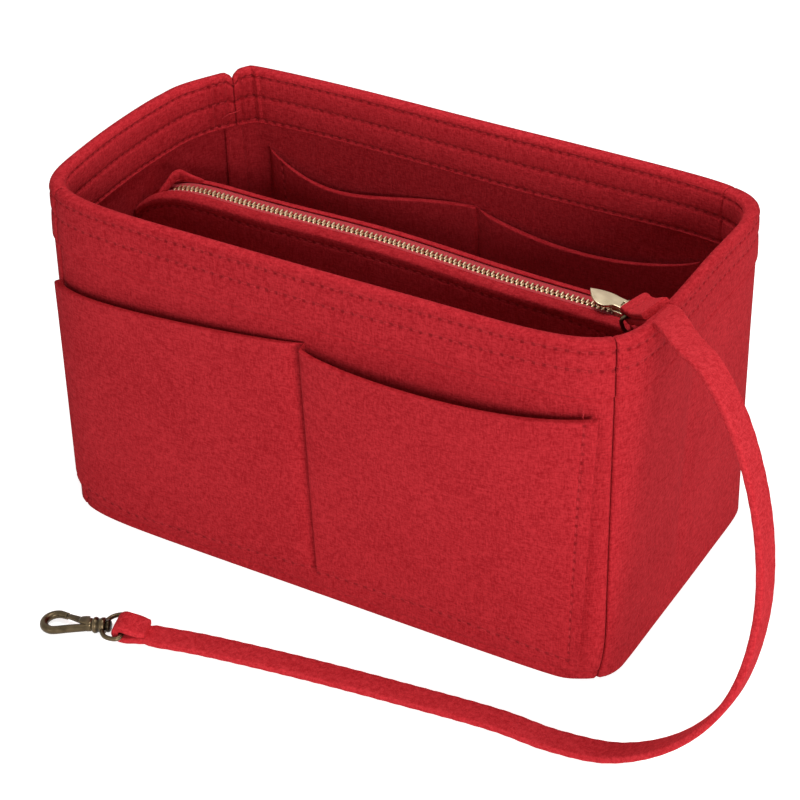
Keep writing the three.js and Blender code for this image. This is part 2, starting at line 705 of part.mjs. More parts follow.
// Half a rounded ring below a straight bar, as bar position and depth
function dOutline(half, depth, power, steps) {
  const corner = Math.min(2.2, half / 3);
  const list = [];
  for (let i = 0; i <= 6; i += 1) {
    list.push([-half + corner + ((2 * half - 2 * corner) * i) / 6, 0]);
  }
  list.push([half - corner * 0.35, corner * 0.3]);
  for (let i = 0; i <= steps; i += 1) {
    const angle = (Math.PI * i) / steps;
    const x = half * Math.sign(Math.cos(angle)) * Math.abs(Math.cos(angle)) ** (2 / power);
    list.push([x, corner + (depth - corner) * Math.abs(Math.sin(angle)) ** (2 / power)]);
  }
  list.push([-half + corner * 0.35, corner * 0.3]);
  return list;
}

// Ring at the pouch end of the strap, hanging from the strap's fold
const foldFrame = strapFrame(0);
const barPlace = foldFrame.place.clone().addScaledVector(foldFrame.normal, LAYER / 2);
const barAlong = foldFrame.across.clone();
const ringDown = RING.lean.clone().addScaledVector(barAlong, -RING.lean.dot(barAlong)).normalize();
const ringNormal = new THREE.Vector3().crossVectors(barAlong, ringDown).normalize();
const ringPoints = dOutline(RING.half, RING.tall, 3, 18).map(([x, d]) => {
  return barPlace.clone().addScaledVector(barAlong, x).addScaledVector(ringDown, d);
});
add('strap_ring', wireRing(ringPoints, RING.wire, ringNormal), 'bronze');

// Felt tab folded round the foot of the ring, with both legs sewn to the end of the pouch
function ringTab() {
  const foot = barPlace.clone().addScaledVector(ringDown, RING.tall);
  const down = new THREE.Vector3(0, 0, -1).addScaledVector(barAlong, barAlong.z).normalize();
  const side = new THREE.Vector3().crossVectors(barAlong, down).normalize();
  const turn = RING.wire + FIT + 0.4 + RING_TAB.thick / 2;
  const near = (RING_TAB.thick + FIT) / 2;
  const line = [[near, RING_TAB.legs], [near, RING_TAB.legs / 2], [near, LOOP_EASE * 0.7], [turn, 0.6]];
  for (let i = 0; i <= 8; i += 1) {
    const angle = (Math.PI * i) / 8;
    line.push([turn * Math.cos(angle), -turn * Math.sin(angle)]);
  }
  line.push([-turn, 0.6], [-near, LOOP_EASE * 0.7], [-near, RING_TAB.legs / 2], [-near, RING_TAB.legs]);
  const rings = line.map(([a, d], i) => {
    const before = line[Math.max(i - 1, 0)];
    const after = line[Math.min(i + 1, line.length - 1)];
    const step = new THREE.Vector2(after[0] - before[0], after[1] - before[1]).normalize();
    const corner = (up, end) => {
      const off = (up * RING_TAB.thick) / 2;
      const point = foot.clone().addScaledVector(side, a - step.y * off);
      point.addScaledVector(down, d + step.x * off);
      return point.addScaledVector(barAlong, (end * RING_TAB.wide) / 2);
    };
    return [corner(1, 1), corner(1, -1), corner(-1, -1), corner(-1, 1)];
  });
  return loft(rings, 'fan');
}

add('ring_tab', ringTab(), 'felt');

// Swivel snap hook, built along X from the bar in the strap's end fold
const endFrame = strapFrame(STRAP_LONG);
const clasp = new THREE.Group();
const claspUp = new THREE.Vector3(0, 0, 1).addScaledVector(CLASP_AIM, -CLASP_AIM.z).normalize();
const claspSide = new THREE.Vector3().crossVectors(claspUp, CLASP_AIM).normalize();
const claspTurn = new THREE.Matrix4().makeBasis(CLASP_AIM, claspSide, claspUp);
clasp.quaternion.setFromRotationMatrix(claspTurn);
clasp.position.copy(endFrame.place).addScaledVector(endFrame.normal, -LAYER / 2);
organizer.add(clasp);

function swivelEye() {
  const loop = dOutline(EYE.half, EYE.reach, 2.4, 22).map(([y, x]) => new THREE.Vector3(x, y, 0));
  const ring = wireRing(loop, EYE.wire, new THREE.Vector3(0, 0, 1));
  const collar = rod(COLLAR.radius, COLLAR.from, COLLAR.to, 'x', 24);
  const bore = rod(SHANK.radius + FIT, COLLAR.from - EYE.wire - FIT, COLLAR.to + FIT, 'x', 24);
  return joined([ring, collar], [bore]);
}

add('swivel_eye', swivelEye(), 'bronze', clasp);

// Half width between the middle lines of the hook's two sides, at a place along it
function hookHalf(x) {
  const spread = (HOOK.round - HOOK.neckHalf) / (HOOK.end - HOOK.neckAt);
  return HOOK.neckHalf + spread * (x - HOOK.neckAt);
}

// Bar of the hook: out along one side, round the end and back to the arm's tip
function hookBar() {
  const list = [0.04, 0.33, 0.7].map((share) => {
    const x = HOOK.neckAt + (HOOK.end - HOOK.neckAt) * share;
    return [x, hookHalf(x)];
  });
  for (let i = 0; i <= 8; i += 1) {
    const angle = Math.PI / 2 - (Math.PI * i) / 8;
    list.push([HOOK.end + HOOK.round * Math.cos(angle), HOOK.round * Math.sin(angle)]);
  }
  list.push([HOOK.armTip, -hookHalf(HOOK.armTip)]);
  const extrudePath = new THREE.CatmullRomCurve3(list.map(([x, y]) => new THREE.Vector3(x, y, 0)));
  const circle = new THREE.Shape();
  circle.absarc(0, 0, HOOK.bar, 0, 2 * Math.PI);
  const sweep = { steps: 34, curveSegments: 5, extrudePath, bevelEnabled: false };
  return toGeometry(toSolid(new THREE.ExtrudeGeometry(circle, sweep)));
}

function hookBody() {
  const from = COLLAR.to + FIT;
  const { to, half, tall, noseHalf, swell, chamfer } = HOOK_BASE;
  const base = new THREE.Shape();
  base.moveTo(from, -noseHalf);
  base.quadraticCurveTo(from + swell, -half, to - chamfer, -half);
  base.lineTo(to, -half + chamfer);
  base.lineTo(to, half - chamfer / 2);
  base.quadraticCurveTo(from + swell, half, from, noseHalf);
  const block = plate(base, -tall, tall);
  const headTo = COLLAR.from - FIT;
  const shank = rod(SHANK.radius, headTo - SHANK.headLong / 2, from + SHANK.radius / 2, 'x');
  const head = rod(SHANK.head, headTo - SHANK.headLong, headTo, 'x');
  const slotHalf = GATE.thick / 2 + FIT;
  const slotFrom = GATE.x - GATE.knuckle - FIT;
  const slotTop = GATE.y + GATE.knuckle + 2 * FIT;
  const slotFoot = -HOOK.round - FIT;
  const slotCorners = [
    new THREE.Vector2(slotFrom, slotTop),
    new THREE.Vector2(HOOK.armTip, slotTop),
    new THREE.Vector2(HOOK.armTip, slotFoot),
    new THREE.Vector2(slotFrom, slotFoot),
  ];
  const slot = plate(slotCorners, -slotHalf, slotHalf);
  const hole = moved(rod(GATE_PIN + FIT, -2 * tall, 2 * tall, 'z', 14), GATE.x, GATE.y, 0);
  return joined([hookBar(), block, shank, head], [slot, hole]);
}

add('hook_body', hookBody(), 'bronze', clasp);

// Gate lever, from its pin in the base to the tip of the arm
function gateLever() {
  const tipX = HOOK.armTip - FIT;
  const tipY = -hookHalf(HOOK.armTip);
  const aim = Math.atan2(tipY - GATE.y, tipX - GATE.x);
  const long = Math.hypot(tipX - GATE.x, tipY - GATE.y) - FIT;
  const lever = new THREE.Shape();
  lever.absarc(0, 0, GATE.knuckle, Math.PI / 2, 1.5 * Math.PI);
  lever.lineTo(long, -GATE.tipHalf);
  lever.lineTo(long, GATE.tipHalf);
  lever.closePath();
  const hole = new THREE.Path();
  hole.absarc(0, 0, GATE_PIN + FIT, 0, 2 * Math.PI, true);
  lever.holes.push(hole);
  const geometry = plate(lever, -GATE.thick / 2, GATE.thick / 2);
  geometry.rotateZ(aim);
  return moved(geometry, GATE.x, GATE.y, 0);
}

add('gate_lever', gateLever(), 'bronze', clasp);
const pinHalf = HOOK_BASE.tall - FIT / 3;
add('gate_pin', moved(rod(GATE_PIN, -pinHalf, pinHalf, 'z', 14), GATE.x, GATE.y, 0), 'bronze', clasp);

export default organizer;
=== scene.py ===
# %% [markdown]
# # A red felt organizer for a handbag
# The object is a stiff felt box without a lid. It has patch pockets, a zipped
# pouch across its middle and a key strap with a swivel hook. The rigid model
# gives the frame, and this lesson dresses it: felt with hems and stitching,
# a brass zip and an antiqued hook. All lengths in the code are millimetres
# until the last step of each mesh, which turns them into metres.

# %% Load the frame
import math
import bpy
import numpy as np
from mathutils import Matrix, Vector


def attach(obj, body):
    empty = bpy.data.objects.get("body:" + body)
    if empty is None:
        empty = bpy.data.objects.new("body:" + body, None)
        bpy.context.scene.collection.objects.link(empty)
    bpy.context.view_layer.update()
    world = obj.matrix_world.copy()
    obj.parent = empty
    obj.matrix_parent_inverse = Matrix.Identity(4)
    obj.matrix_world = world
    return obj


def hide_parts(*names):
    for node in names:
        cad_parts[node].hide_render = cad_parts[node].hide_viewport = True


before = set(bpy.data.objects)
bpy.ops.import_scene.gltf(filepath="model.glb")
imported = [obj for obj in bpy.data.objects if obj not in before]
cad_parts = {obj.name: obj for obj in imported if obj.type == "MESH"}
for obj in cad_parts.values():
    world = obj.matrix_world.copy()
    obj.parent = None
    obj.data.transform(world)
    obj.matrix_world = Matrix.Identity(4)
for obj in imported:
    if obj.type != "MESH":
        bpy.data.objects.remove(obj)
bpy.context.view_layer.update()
MM = 0.001

# %% [markdown]
# ## The camera
# A long lens far away keeps the upright edges of a product nearly parallel.
# The camera looks down on the front right corner, and it is rolled by two
# degrees, as the photographer's was. Building its axes by hand and giving it
# a matrix is exact, where a Track To constraint would lose the roll.

# %% Camera
LOOK_AT = Vector((-6.0, 3.0, 54.5)) * MM
DISTANCE = 1081 * MM
AZIMUTH, ELEVATION, ROLL = (math.radians(a) for a in (31.52, 34.80, -2.17))

backwards = Vector((
    math.sin(AZIMUTH) * math.cos(ELEVATION),
    -math.cos(AZIMUTH) * math.cos(ELEVATION),
    math.sin(ELEVATION),
))
level_right = Vector((0, 0, 1)).cross(backwards).normalized()
level_up = backwards.cross(level_right)
camera_right = level_right * math.cos(ROLL) + level_up * math.sin(ROLL)
camera_up = level_up * math.cos(ROLL) - level_right * math.sin(ROLL)

camera = bpy.data.objects.new("camera", bpy.data.cameras.new("camera"))
camera.data.sensor_width = 36
camera.data.lens = 112.5
camera.data.clip_start = 0.01
camera.data.clip_end = 30
turn = Matrix((camera_right, camera_up, backwards)).transposed().to_4x4()
camera.matrix_world = Matrix.Translation(LOOK_AT + backwards * DISTANCE) @ turn
bpy.context.scene.collection.objects.link(camera)
bpy.context.scene.camera = camera
print("camera at", tuple(round(v, 3) for v in camera.matrix_world.translation))

# %% [markdown]
# ## Mesh helpers
# Every felt piece is a closed sheet with thickness, so one helper turns two
# grids of points, one for each face of the felt, into a solid. A second one
# lofts rings of points, for the strap and for the metal. Writing the points
# as arrays is easier to control than modelling by hand, because each fold and
# stitch line is a formula.

# %% Mesh helpers
def unit(vectors):
    return vectors / np.maximum(np.linalg.norm(vectors, axis=-1, keepdims=True), 1e-12)


def outward(points, faces):
    """Turns all faces over if the closed mesh is inside out."""
    volume = 0.0
    for size in {len(face) for face in faces}:
        some = np.array([face for face in faces if len(face) == size])
        first = points[some[:, 0]]
        for k in range(1, size - 1):
            volume += np.sum(first * np.cross(points[some[:, k]], points[some[:, k + 1]]))
    return faces if volume > 0 else [face[::-1] for face in faces]


def sheet_solid(front, back):
    """Closed solid between two grids of the same shape, columns by rows."""
    columns, rows = front.shape[:2]
    points = np.concatenate([front.reshape(-1, 3), back.reshape(-1, 3)])
    number = np.arange(columns * rows).reshape(columns, rows)
    other = number + columns * rows

    def strip(a, b):
        return np.stack([a[:-1], a[1:], b[1:], b[:-1]], -1).reshape(-1, 4)

    quads = [
        np.stack([number[:-1, :-1], number[1:, :-1], number[1:, 1:], number[:-1, 1:]], -1).reshape(-1, 4),
        np.stack([other[:-1, :-1], other[:-1, 1:], other[1:, 1:], other[1:, :-1]], -1).reshape(-1, 4),
        strip(number[:, -1], other[:, -1]),
        strip(other[:, 0], number[:, 0]),
        strip(other[-1], number[-1]),
        strip(number[0], other[0]),
    ]
    return points, np.concatenate(quads).tolist()


def loft(rings, closed=False):
    """Solid through rings of the same count, capped unless it closes on itself."""
    rings = np.asarray(rings, float)
    count, around = rings.shape[:2]
    number = np.arange(count * around).reshape(count, around)
    if closed:
        number = np.vstack([number, number[:1]])
    here, there = number[:-1], number[1:]
    quads = np.stack([here, np.roll(here, -1, 1), np.roll(there, -1, 1), there], -1).reshape(-1, 4).tolist()
    if not closed:
        quads += [number[0].tolist()[::-1], number[-1].tolist()]
    return rings.reshape(-1, 3), quads


def gathered(parts):
    """Several meshes as one list of points and faces."""
    points, faces, start = [], [], 0
    for some_points, some_faces in parts:
        points.append(some_points)
        faces += [[i + start for i in face] for face in some_faces]
        start += len(some_points)
    return np.concatenate(points), faces


def soft_square(count, power, start=0.0):
    """Cosine and sine round a circle, pushed out towards the corners of a square."""
    angle = np.linspace(0, 2 * math.pi, count, endpoint=False) + start
    return [np.sign(v) * np.abs(v) ** power for v in (np.cos(angle), np.sin(angle))]


print("a square with soft corners reaches", round(float(soft_square(8, 0.7)[0][1]), 2), "at its corner")

# %% [markdown]
# ## Pieces of the organizer
# Each mesh becomes a named piece that rides on a body of the rigid model and
# takes the place of its plain solid. Felt that is sewn also carries a mark on
# every point: how far along a row it lies, and how near to that row. A mark on
# the points is better than a painted image here, since it needs no unwrapping.

# %% Pieces and stitch marks
def make(name, mesh_data, finish, body="organizer", stands_for=(), sharp=50, marks=None):
    """A piece of the organizer from points in millimetres, riding on its body."""
    points, faces = mesh_data
    mesh = bpy.data.meshes.new(name)
    mesh.from_pydata((points * MM).tolist(), [], outward(points, faces))
    mesh.polygons.foreach_set("use_smooth", [True] * len(mesh.polygons))
    mesh.set_sharp_from_angle(angle=math.radians(sharp))
    mesh.materials.append(finish)
    if marks is not None:
        layer = mesh.attributes.new("stitch_line", "FLOAT_VECTOR", "POINT")
        layer.data.foreach_set("vector", marks.astype(np.float32).ravel())
    piece = bpy.data.objects.new(name, mesh)
    bpy.context.scene.collection.objects.link(piece)
    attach(piece, body)
    if stands_for:
        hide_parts(*stands_for)
    return piece


def row_marks(along, distance):
    """Stitch marks of points: the run along a row, and how near the row is."""
    near = np.clip(1 - np.abs(distance) / 2, 0, 1)
    return np.stack([np.broadcast_to(along, near.shape), near, 0 * near], -1).reshape(-1, 3)


print("a point 1 mm from a row is marked", row_marks(0.0, np.array([1.0]))[0, 1])

# %% [markdown]
# ## Node helpers
# A material can be wired by hand in the node editor. Here it is built by code,
# so that every value can be read. The helpers add one node, link what they are
# given, and hand back the output.

# %% Node helpers
def add_node(tree, kind, links=None, **values):
    node = tree.nodes.new(kind)
    for key, value in values.items():
        if key in node.inputs.keys():
            node.inputs[key].default_value = value
        else:
            setattr(node, key, value)
    for socket, source in (links or {}).items():
        tree.links.new(source, node.inputs[socket])
    return node


def feed(tree, socket, value):
    """Links a socket to another one, or types a value into it."""
    if isinstance(value, bpy.types.NodeSocket):
        tree.links.new(value, socket)
    else:
        socket.default_value = value


def maths(tree, operation, *terms):
    node = add_node(tree, "ShaderNodeMath", operation=operation)
    for socket, term in zip(node.inputs, terms):
        feed(tree, socket, term)
    return node.outputs[0]


def span(tree, value, low, high, least=0.0, most=1.0, kind="LINEAR"):
    """Turns the range from low to high into the range from least to most."""
    limits = {"From Min": low, "From Max": high, "To Min": least, "To Max": most}
    node = add_node(tree, "ShaderNodeMapRange", {"Value": value}, interpolation_type=kind, **limits)
    return node.outputs[0]


def mix_colours(tree, share, first, second):
    node = add_node(tree, "ShaderNodeMix", data_type="RGBA")
    for number, value in ((0, share), (6, first), (7, second)):
        feed(tree, node.inputs[number], value)
    return node.outputs[2]


def new_group(name, inputs, outputs):
    tree = bpy.data.node_groups.new(name, "ShaderNodeTree")
    for socket, (kind, value) in inputs.items():
        made = tree.interface.new_socket(socket, in_out="INPUT", socket_type=kind)
        made.default_value = value
    for socket, kind in outputs.items():
        tree.interface.new_socket(socket, in_out="OUTPUT", socket_type=kind)
    return tree, tree.nodes.new("NodeGroupInput").outputs, tree.nodes.new("NodeGroupOutput").inputs


def add_group(tree, group, values):
    node = tree.nodes.new("ShaderNodeGroup")
    node.node_tree = group
    for socket, value in values.items():
        node.inputs[socket].default_value = value
    return node.outputs


print("node helpers ready")


# %% [markdown]
# ## Felt as a node group
# Needle felt has no weave. Short fibres lie in all directions, a little more along the cloth than across it,
# and they gather in faint clouds. The group mixes two stretched noises for the fibres and a slow one for the
# clouds, and it gives out a colour and a height. Both the felt of the walls and the felt of the strap use it,
# each with its own reds; the strap's brighter reds are painted light on the same felt.

# %% Felt group
felt_group, given, result = new_group(
    "felt_fibres",
    {
        "Deep Red": ("NodeSocketColor", (0.3, 0.01, 0.02, 1)),
        "Bright Red": ("NodeSocketColor", (0.5, 0.02, 0.03, 1)),
        "Fibres Per Metre": ("NodeSocketFloat", 1600.0),
        "Cloud": ("NodeSocketFloat", 0.2),
    },
    {"Colour": "NodeSocketColor", "Height": "NodeSocketFloat"},
)
place = add_node(felt_group, "ShaderNodeTexCoord").outputs["Object"]
fibre_noises = []
for stretch in ((1.0, 1.0, 0.28), (0.3, 0.3, 1.0)):
    along = add_node(felt_group, "ShaderNodeMapping", {"Vector": place}, Scale=stretch)
    noise = add_node(
        felt_group, "ShaderNodeTexNoise",
        {"Vector": along.outputs[0], "Scale": given["Fibres Per Metre"]},
        Detail=3.0, Roughness=0.6, Distortion=0.4,
    )
    fibre_noises.append(noise.outputs["Fac"])
clouds = add_node(felt_group, "ShaderNodeTexNoise", {"Vector": place}, Scale=210.0, Detail=4.0, Roughness=0.6)
slow = add_node(felt_group, "ShaderNodeTexNoise", {"Vector": place}, Scale=28.0, Detail=2.0)
both = maths(felt_group, "ADD", clouds.outputs["Fac"], slow.outputs["Fac"])
cloudy = maths(felt_group, "MULTIPLY", both, given["Cloud"])
total = maths(felt_group, "ADD", maths(felt_group, "ADD", *fibre_noises), cloudy)
tint = mix_colours(felt_group, span(felt_group, total, 0.97, 1.43), given["Deep Red"], given["Bright Red"])
felt_group.links.new(tint, result["Colour"])
felt_group.links.new(total, result["Height"])
print("felt group has", len(felt_group.nodes), "nodes")

# %% [markdown]
# ## Needle holes
# The needle leaves a hole at both ends of each stitch, where the thread goes down into the felt. The group
# reads the marks of the points and cuts the run along the row into stitches with a fraction, so the holes lie
# exactly between the threads that are added later. The felt material dents the felt there and also darkens
# its colour, which is painted shade in the holes.

# %% Stitch dents
STITCH_PITCH = 4.35
dent_group, given, result = new_group(
    "stitch_dents", {"Stitch Pitch": ("NodeSocketFloat", STITCH_PITCH)}, {"Dent": "NodeSocketFloat"}
)
mark = add_node(dent_group, "ShaderNodeAttribute", attribute_name="stitch_line")
marked = add_node(dent_group, "ShaderNodeSeparateXYZ", {"Vector": mark.outputs["Vector"]})
steps = maths(dent_group, "DIVIDE", marked.outputs["X"], given["Stitch Pitch"])
from_middle = maths(dent_group, "SUBTRACT", maths(dent_group, "FRACT", steps), 0.5)
either_way = maths(dent_group, "ABSOLUTE", from_middle)
at_ends = span(dent_group, either_way, 0.27, 0.40, least=0.1, kind="SMOOTHSTEP")
on_row = span(dent_group, marked.outputs["Y"], 0.5, 0.85, kind="SMOOTHSTEP")
dent_group.links.new(maths(dent_group, "MULTIPLY", at_ends, on_row), result["Dent"])
print("dent group has", len(dent_group.nodes), "nodes")

# %% [markdown]
# ## The felt itself
# Felt is very rough, and its loose fibres catch light at grazing angles. The
# sheen of the Principled shader does that. It is the same all over, so it is
# typed on the shader, and only the colour and the bump come from the group.

# %% Felt and thread materials
HOLE_PAINTED_SHADE, HOLE_DEPTH = 0.42, 1.2


def new_material(name, metallic=0.0, roughness=0.5):
    material = bpy.data.materials.new(name)
    material.use_nodes = True
    tree = material.node_tree
    shader = tree.nodes["Principled BSDF"]
    shader.inputs["Metallic"].default_value = metallic
    shader.inputs["Roughness"].default_value = roughness
    return material, tree, shader


def bump(tree, shader, height, strength, distance):
    node = add_node(tree, "ShaderNodeBump", {"Height": height}, Strength=strength, Distance=distance)
    tree.links.new(node.outputs[0], shader.inputs["Normal"])


def felt_material(name, deep, bright, cloud, fibres_per_metre):
    material, tree, shader = new_material(name, roughness=0.95)
    reds = {"Deep Red": (*deep, 1), "Bright Red": (*bright, 1)}
    felt = add_group(tree, felt_group, {**reds, "Cloud": cloud, "Fibres Per Metre": fibres_per_metre})
    dents = add_group(tree, dent_group, {})
    # The needle holes are dented and also painted darker: painted shade in the holes.
    hole_painted_shade = maths(tree, "MULTIPLY", dents["Dent"], HOLE_PAINTED_SHADE)
    shade = mix_colours(tree, hole_painted_shade, felt["Colour"], (*(0.3 * c for c in deep), 1))
    tree.links.new(shade, shader.inputs["Base Color"])
    height = maths(tree, "MULTIPLY_ADD", dents["Dent"], -HOLE_DEPTH, felt["Height"])
    bump(tree, shader, height, 0.55, 0.0004)
    shader.inputs["Specular IOR Level"].default_value = 0.05
    shader.inputs["Sheen Weight"].default_value = 0.02
    shader.inputs["Sheen Roughness"].default_value = 0.5
    shader.inputs["Sheen Tint"].default_value = (1.0, 0.35, 0.35, 1)
    return material


red_felt = felt_material("red_felt", (0.31, 0.009, 0.014), (0.50, 0.026, 0.034), 0.2, 1500.0)
# The strap is the same felt as the walls, typed brighter: painted light, standing in for the strong light
# from above on the strap.
strap_felt_painted_light = felt_material("strap_felt_painted_light", (0.42, 0.014, 0.020), (0.63, 0.037, 0.047), 0.2, 1700.0)
# The thread is the same red as the felt, typed a little lighter: painted highlight on the stitches.
stitch_thread = felt_material("stitch_thread", (0.40, 0.018, 0.026), (0.55, 0.040, 0.048), 0.2, 5200.0)
print("made", red_felt.name, strap_felt_painted_light.name, stitch_thread.name)

# %% [markdown]
# ## The key strap
# The strap is a flat felt band, 12 mm wide, that leaves the ring at the end of
# the pouch, climbs over the rim, falls in one wide bow to the table and lies
# along it to the hook. It is a cord in the sense of the frame, so it comes
# before everything else. The route is a smooth curve through points that
# follow the rigid model. A curve object with a bevel would twist where it
# likes, so the band's direction across is worked out here, ring by ring.

# %% Route of the strap
STRAP_WIDE, STRAP_THICK, FIT = 12.0, 3.0, 0.3
STRAP_ROUTE = [
    (114.2, -13, 144.5), (122.5, -22.4, 150.9), (131.2, -32.2, 159.2), (139.6, -41.8, 165.4),
    (151.8, -53.8, 166.6), (167.9, -64.8, 164.5), (186.9, -78.6, 149.2), (200.5, -89.9, 122.1),
    (204.7, -97.5, 88.5), (197, -101.9, 51.7), (178.9, -104.4, 24.7), (152.5, -105.9, 7.2),
    (125.6, -106.5, 2.3), (101.4, -106.2, 1.9), (58, -110.6, 1.8), (14.2, -116.2, 1.8),
    (-29.7, -123.5, 1.8), (-47, -127.9, 2.1), (-61.5, -132, 3.15),
]
RING_BAR = unit(np.array([0.56, 0.75, 0.34]))
LOOP_EASE, RING_TWIST, RING_TAIL, HOOK_TAIL, WIRE = 8.0, 42.0, 30.24, 10.0, 1.0
LAYER = STRAP_THICK + FIT
SPAN_STEPS, BOW_SPANS = 60, 10.5


def smooth_route(points, per_span=SPAN_STEPS):
    knots = np.asarray(points, float)
    knots = np.vstack([2 * knots[0] - knots[1], knots, 2 * knots[-1] - knots[-2]])
    steps = np.sqrt(np.linalg.norm(np.diff(knots, axis=0), axis=1))
    share = np.linspace(0, 1, per_span, endpoint=False)[:, None]
    spans = []
    for i in range(len(points) - 1):
        (x0, x1, x2, x3), (d0, d1, d2) = knots[i:i + 4], steps[i:i + 3]
        leave = ((x1 - x0) / d0 - (x2 - x0) / (d0 + d1) + (x2 - x1) / d1) * d1
        arrive = ((x2 - x1) / d1 - (x3 - x1) / (d1 + d2) + (x3 - x2) / d2) * d1
        square = 3 * (x2 - x1) - 2 * leave - arrive
        cube = 2 * (x1 - x2) + leave + arrive
        spans.append(x1 + leave * share + square * share**2 + cube * share**3)
    return np.vstack(spans + [knots[-2:-1]])


def lengths_along(points):
    return np.concatenate([[0], np.cumsum(np.linalg.norm(np.diff(points, axis=0), axis=1))])


def interpolate(s, lengths, values):
    return np.stack([np.interp(s, lengths, values[:, k]) for k in range(values.shape[1])], -1)


def ease(share):
    share = np.clip(share, 0, 1)
    return share * share * (3 - 2 * share)


route = smooth_route(STRAP_ROUTE)
route_lengths = lengths_along(route)
route_along = unit(np.gradient(route, route_lengths, axis=0))
STRAP_LONG = route_lengths[-1]
BOW_FOOT = route_lengths[int(BOW_SPANS * SPAN_STEPS)]


def strap_frame(s):
    """Place, direction, direction across and normal of the band at distance s."""
    inside = np.clip(s, 0, STRAP_LONG)
    along = unit(interpolate(inside, route_lengths, route_along))
    place = interpolate(inside, route_lengths, route) + along * (s - inside)[..., None]
    swing = 0.22 * np.exp(-(((inside - BOW_FOOT) / 45) ** 2))
    across = np.stack([swing, np.ones_like(s), np.zeros_like(s)], -1)
    level = unit(across - along * np.sum(across * along, -1, keepdims=True))
    held = unit(RING_BAR - along * (along @ RING_BAR)[..., None])
    share = ease((s - LOOP_EASE) / RING_TWIST)[..., None]
    across = unit(held * (1 - share) + level * share)
    return place, along, across, np.cross(along, across)


print("strap route is", round(STRAP_LONG, 1), "mm long")

# %% [markdown]
# ## The band and its two folds
# A felt strap is cut from the sheet, so its section is a flat rectangle with
# soft edges. At both ends it is turned back round a wire and sewn down. Each
# fold is a line of distance and height beside the route, and one section is
# swept along all three lines.

# %% Band of the strap
def band_section(half_wide, half_thick, corner=1.0):
    """Rounded outline of the band as pairs of height and side, a little crowned."""
    outline = []
    for up, side, start in ((1, 1, 0), (1, -1, 90), (-1, -1, 180), (-1, 1, 270)):
        for angle in np.radians(np.linspace(start, start + 90, 5)):
            outline.append((
                up * (half_thick - corner) + corner * math.sin(angle),
                side * (half_wide - corner) + corner * math.cos(angle),
            ))
        if side == up:
            for share in (0.6, 0.2, -0.2, -0.6):
                crown = 0.12 * (1 - share * share)
                outline.append((up * (half_thick + crown), up * share * (half_wide - corner)))
    return np.array(outline)


def band(line, pinch=None):
    """Rings of the band along a line of distance and height off the route."""
    line = np.asarray(line, float)
    step = unit(np.gradient(line, axis=0))
    section = band_section(STRAP_WIDE / 2, STRAP_THICK / 2)
    s = line[:, :1] - step[:, 1:] * section[:, 0]
    high = line[:, 1:] + step[:, :1] * section[:, 0]
    place, _, across, normal = strap_frame(s)
    narrow = 1 - 0.05 * ease((line[:, 0] - BOW_FOOT) / 60)
    if pinch is not None:
        narrow -= 0.16 * np.exp(-(((line[:, 0] - pinch) / 1.5) ** 2))
    side = section[:, 1] * narrow[:, None] + 0.12 * np.sin(line[:, :1] * 0.9 + section[:, 1])
    return place + normal * high[..., None] + across * side[..., None]


def folded_end(tail):
    """Line of a folded end: back along the tail, round the wire and under again."""
    radius = WIRE + FIT + STRAP_THICK / 2
    middle = LAYER / 2
    back = [(s, LAYER) for s in np.arange(tail, LOOP_EASE, -1.5)]
    for share in np.linspace(0, 1, 9)[:-1]:
        back.append((LOOP_EASE * (1 - share), LAYER + (middle + radius - LAYER) * ease(share)))
    for angle in np.radians(np.linspace(90, 270, 21)):
        back.append((radius * math.cos(angle), middle + radius * math.sin(angle)))
    for share in np.linspace(0, 1, 9)[1:]:
        back.append((LOOP_EASE * share, (middle - radius) * (1 - ease(share))))
    return np.array(back)


strap_s = np.linspace(LOOP_EASE, STRAP_LONG - LOOP_EASE, 240)
strap_line = np.stack([strap_s, np.zeros_like(strap_s)], -1)
key_strap = make(
    "key_strap_band", loft(band(strap_line, STRAP_LONG - HOOK_TAIL)), strap_felt_painted_light,
    stands_for=["key_strap"],
)
ring_fold = make("strap_ring_fold", loft(band(folded_end(RING_TAIL))), strap_felt_painted_light)
hook_fold_line = folded_end(HOOK_TAIL) * (-1, -1) + (STRAP_LONG, 0)
hook_fold = make(
    "strap_hook_fold", loft(band(hook_fold_line, STRAP_LONG - HOOK_TAIL)), strap_felt_painted_light,
)

# %% [markdown]
# ## Rows of stitches
# A machine stitch is a short piece of thread that dips into the felt at both
# ends. Each one here is a small bent capsule, laid along a row that follows
# the surface. They are real geometry, so the rows stay crisp from every side,
# and all stitches of one panel are one mesh.

# %% Stitches
STITCH_LONG, THREAD = 3.3, 0.36


def stitch_row(path, normals, pitch=STITCH_PITCH, runs=None, lift=-0.1, sink=0.7):
    """Meshes of the stitches along a path on the felt, in step with the dents."""
    run = lengths_along(path) if runs is None else runs
    middles = (np.arange(math.ceil(run[0] / pitch), math.floor(run[-1] / pitch)) + 0.5) * pitch
    reach = np.linspace(-1, 1, 7)
    long = min(STITCH_LONG, pitch * 0.76)
    s = middles[:, None] + reach * long / 2
    place = interpolate(s, run, path)
    normal = unit(interpolate(s, run, normals))
    ahead = unit(np.gradient(place, axis=1))
    side = unit(np.cross(ahead, normal))
    high = lift - sink * np.abs(reach) ** 3
    angle = np.linspace(0, 2 * math.pi, 6, endpoint=False)
    fat = THREAD * np.sqrt(np.maximum(0.08, 1 - reach**6))
    ring = (
        place[:, :, None]
        + normal[:, :, None] * (high[None, :, None] + fat[None, :, None] * np.sin(angle))[..., None]
        + side[:, :, None] * (fat[None, :, None] * np.cos(angle))[..., None]
    )
    return [loft(one) for one in ring]


def surface_normals(path, inner_path):
    return unit(path - inner_path)


